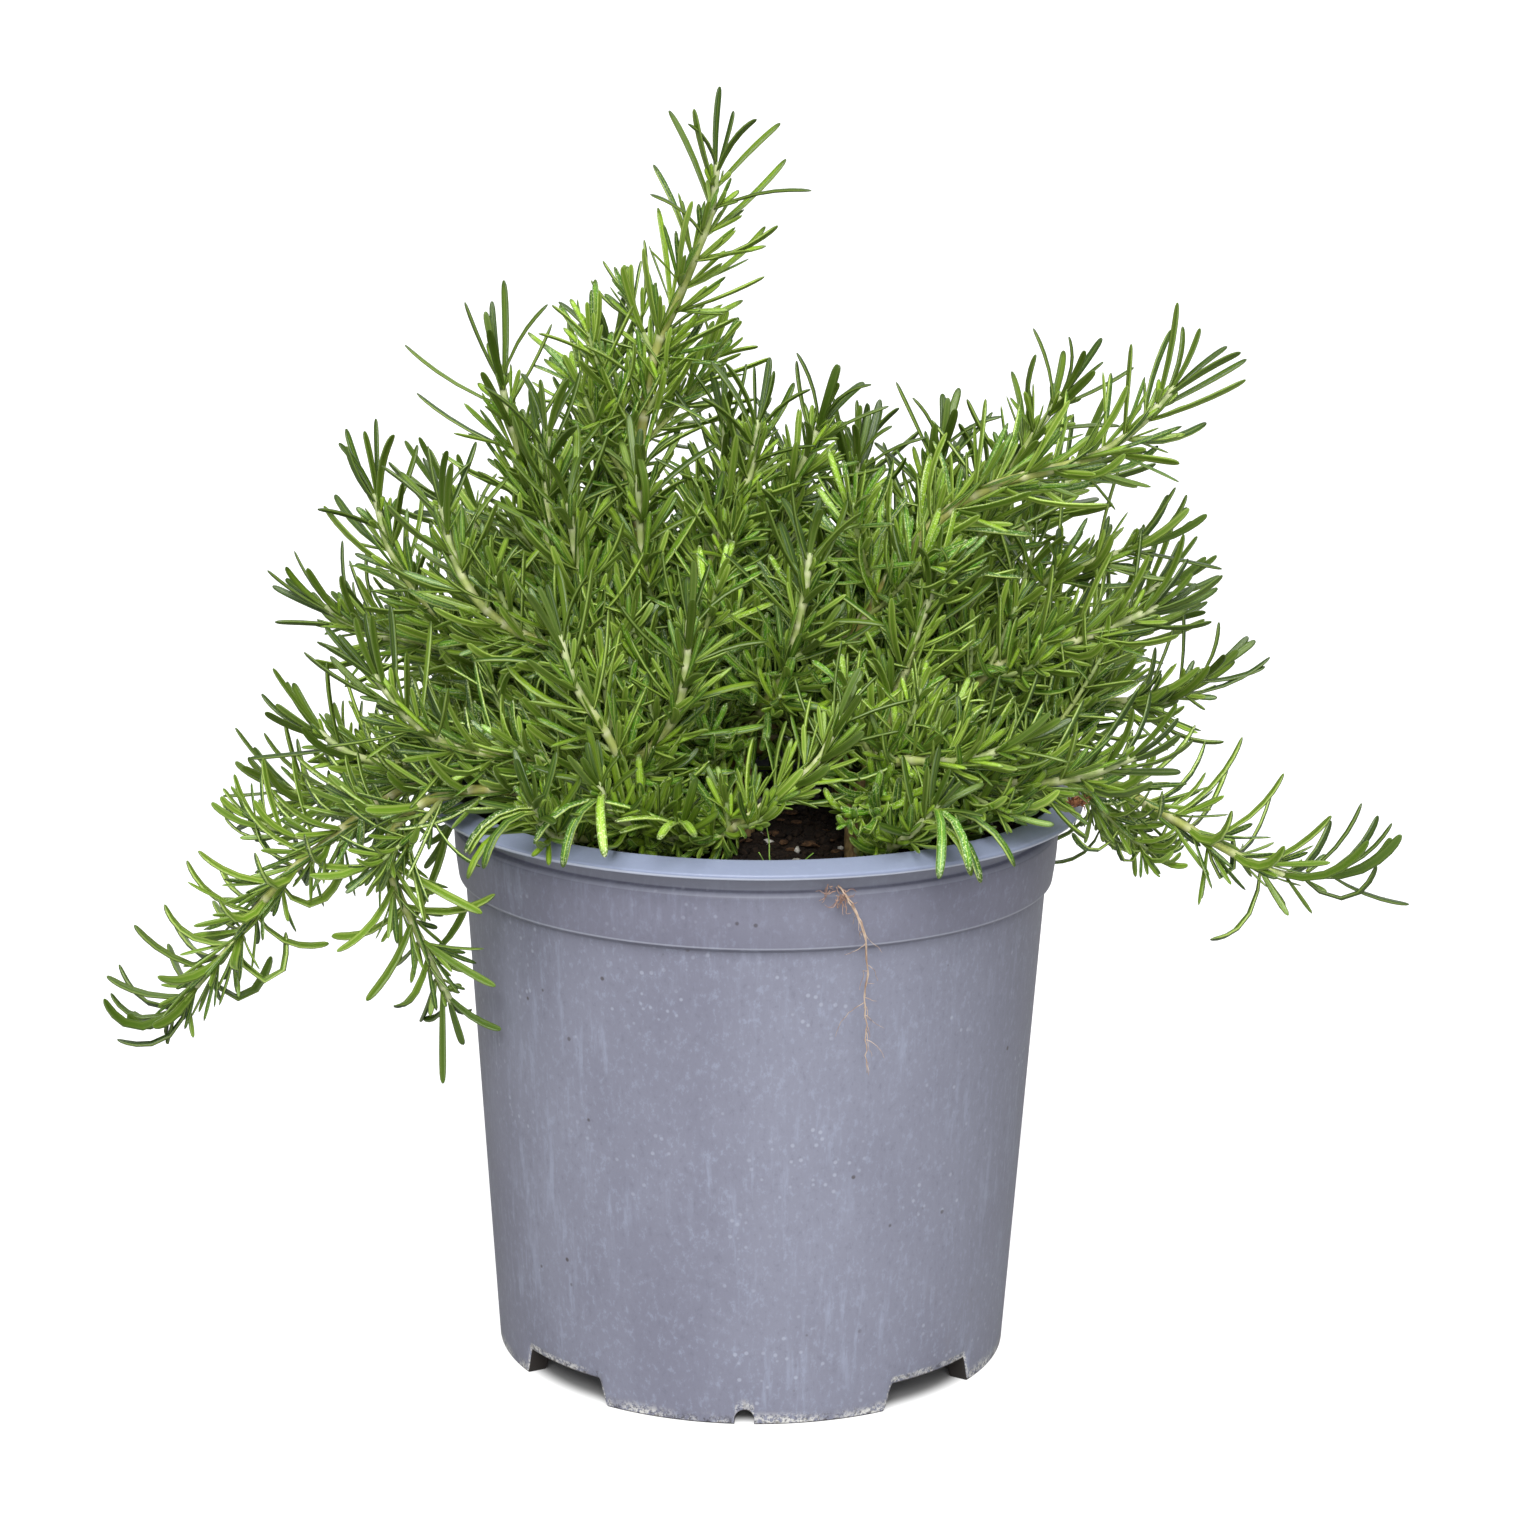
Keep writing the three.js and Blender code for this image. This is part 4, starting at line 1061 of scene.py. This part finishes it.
def peat_material(name, dark, light):
    g = Graph(name)
    grain = g.noise(900, 4, 0.65)
    base = g.mix(g.step(grain, 0.35, 0.7), dark, light)
    return g.finish(base, 0.95, g.bump(grain, 0.6, 0.0006))


# ---- small loose things ----
HAIRS, CURLS, TUFT_BLADES = 20, 22, 40
TUFT_ANGLE = 78  # degrees right of the front


def thread(start, direction, length, rng, wander, sag=0.0, steps=12):
    """A wandering line of points."""
    points, heading = [np.array(start, float)], unit(np.array(direction, float))
    for _ in range(steps):
        heading = unit(heading + rng.normal(0, wander, 3) - UP * sag)
        points.append(points[-1] + heading * length / steps)
    return np.array(points)


def add_thread(grids, points, foot_radius, tip_radius, cell, slot=0, sides=5):
    along = unit(np.gradient(points, axis=0))
    side = unit(np.cross(along, (0.3, 0.9, 0.2)))
    other = np.cross(along, side)
    radius = np.linspace(foot_radius, tip_radius, len(points))[:, None, None]
    grids.add_lathe(points[:, None] + circles(side, other, sides) * radius, slot, cell)


def fibre_material(name, dark, light):
    g = Graph(name)
    streaks = g.noise(700, 3, place=g.place((1, 1, 0.4)))
    return g.finish(g.mix(g.step(streaks, 0.3, 0.7), dark, light), 0.85, g.bump(streaks, 0.3, 0.0002))


def make_hanging_root():
    """A dry root with side hairs and a tangled clump at its top."""
    rng = np.random.default_rng(21)
    centres, _ = cad_rings("hanging_root", SHOOT_SIDES)
    line = Line(centres)
    wiggle = np.cumsum(rng.normal(0, 0.27 * MM, line.points.shape), 0)
    wiggle -= np.linspace(0, 1, len(wiggle))[:, None] * wiggle[-1]
    strand = line.points + wiggle * (1, 0.2, 1)
    grids = Grids()
    add_thread(grids, strand, 0.3 * MM, 0.12 * MM, (0, 0, 0.04, 1))
    twin = strand[:int(len(strand) * 0.7)]
    twin = twin + np.cumsum(rng.normal(0, 0.12 * MM, twin.shape), 0)
    add_thread(grids, twin - (0, 0.3 * MM, 0), 0.26 * MM, 0.08 * MM, (0.05, 0, 0.1, 1))
    for i in range(HAIRS):
        at = int(len(strand) * rng.uniform(0.15, 0.97))
        way = (rng.normal(0, 0.7), -abs(rng.normal(0, 0.1)), rng.uniform(-1.6, -0.3))
        hair = thread(strand[at], way, rng.uniform(2, 9) * MM * (1.6 if i < 3 else 1), rng, 0.25, 0.12)
        add_thread(grids, hair, 0.11 * MM, 0.05 * MM, (0.12, 0, 0.3, 0.5), sides=4)
    for _ in range(CURLS):
        start = strand[0] + rng.normal(0, 1, 3) * (1.5 * MM, 0.5 * MM, 1.0 * MM)
        start = start - UP * rng.uniform(0, 5) * MM
        way = rng.normal(0, 1, 3) * (0.6, 0.15, 0.4) - UP
        curl = thread(start, way, rng.uniform(2.5, 7) * MM, rng, 0.35)
        curl[:, 1] = np.minimum(curl[:, 1], start[1])
        add_thread(grids, curl, 0.17 * MM, 0.07 * MM, (0.4, 0, 0.6, 0.5), slot=1, sides=4)
    piece = grids.build("dry_root_strand", [
        fibre_material("dry_root", "8f7462", "c8b4a0"), fibre_material("reddish_root", "82665a", "b69a8a"),
    ])
    fix(piece, "hanging_root")


def make_seedling():
    """A tiny weed that has come up in the soil at the front and looks over the lip."""
    rng = np.random.default_rng(12)
    foot = AXIS + (0.0055, -0.079, SOIL_TOP - 1 * MM)
    grids = Grids()
    for lean in (-0.5, -0.1, 0.35, 0.6):
        blade = thread(foot, (lean, -0.25, 1.6), rng.uniform(15, 21) * MM, rng, 0.06, 0.07)
        add_thread(grids, blade, 0.35 * MM, 0.12 * MM, (0, 0, 0.2, 1), sides=6)
    fix(grids.build("weed_seedling", [fibre_material("seedling_green", "5d8a2a", "93b458")]))


def make_dry_tuft():
    """A small dry tuft that lies on the right of the lip."""
    rng = np.random.default_rng(4)
    angle = math.radians(TUFT_ANGLE)
    lip = AXIS + np.array([math.sin(angle), -math.cos(angle), 0]) * 92.5 * MM + UP * (POT_HEIGHT + 0.2 * MM)
    grids = Grids()
    for _ in range(TUFT_BLADES):
        start = lip + rng.normal(0, 1, 3) * (1.2 * MM, 1.8 * MM, 0.3 * MM)
        blade = thread(start, (rng.normal(0.4, 0.8), rng.normal(0, 0.8), rng.uniform(-0.1, 0.5)),
                       rng.uniform(2.5, 6) * MM, rng, 0.25)
        blade[:, 2] = np.maximum(blade[:, 2], POT_HEIGHT - 1 * MM)
        add_thread(grids, blade, 0.38 * MM, 0.08 * MM, (0, 0, 0.2, 1))
    fix(grids.build("dry_tuft", [fibre_material("dry_fibre", "5a3320", "9c6b48")]))


make_camera()
make_studio()
make_pot(plastic_material())
make_soil()
make_hanging_root()
make_seedling()
make_dry_tuft()

bark = fibre_material("young_bark", "6b5638", "a58c5f")
for node in sorted(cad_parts):
    if node.startswith("woody_stem_"):
        make_woody_stem(node, bark)

foliage = [leaf_material(), stem_material()]
for node in sorted(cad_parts):
    if node.startswith("shoot_"):
        make_shoot(node, foliage)

bpy.context.view_layer.update()
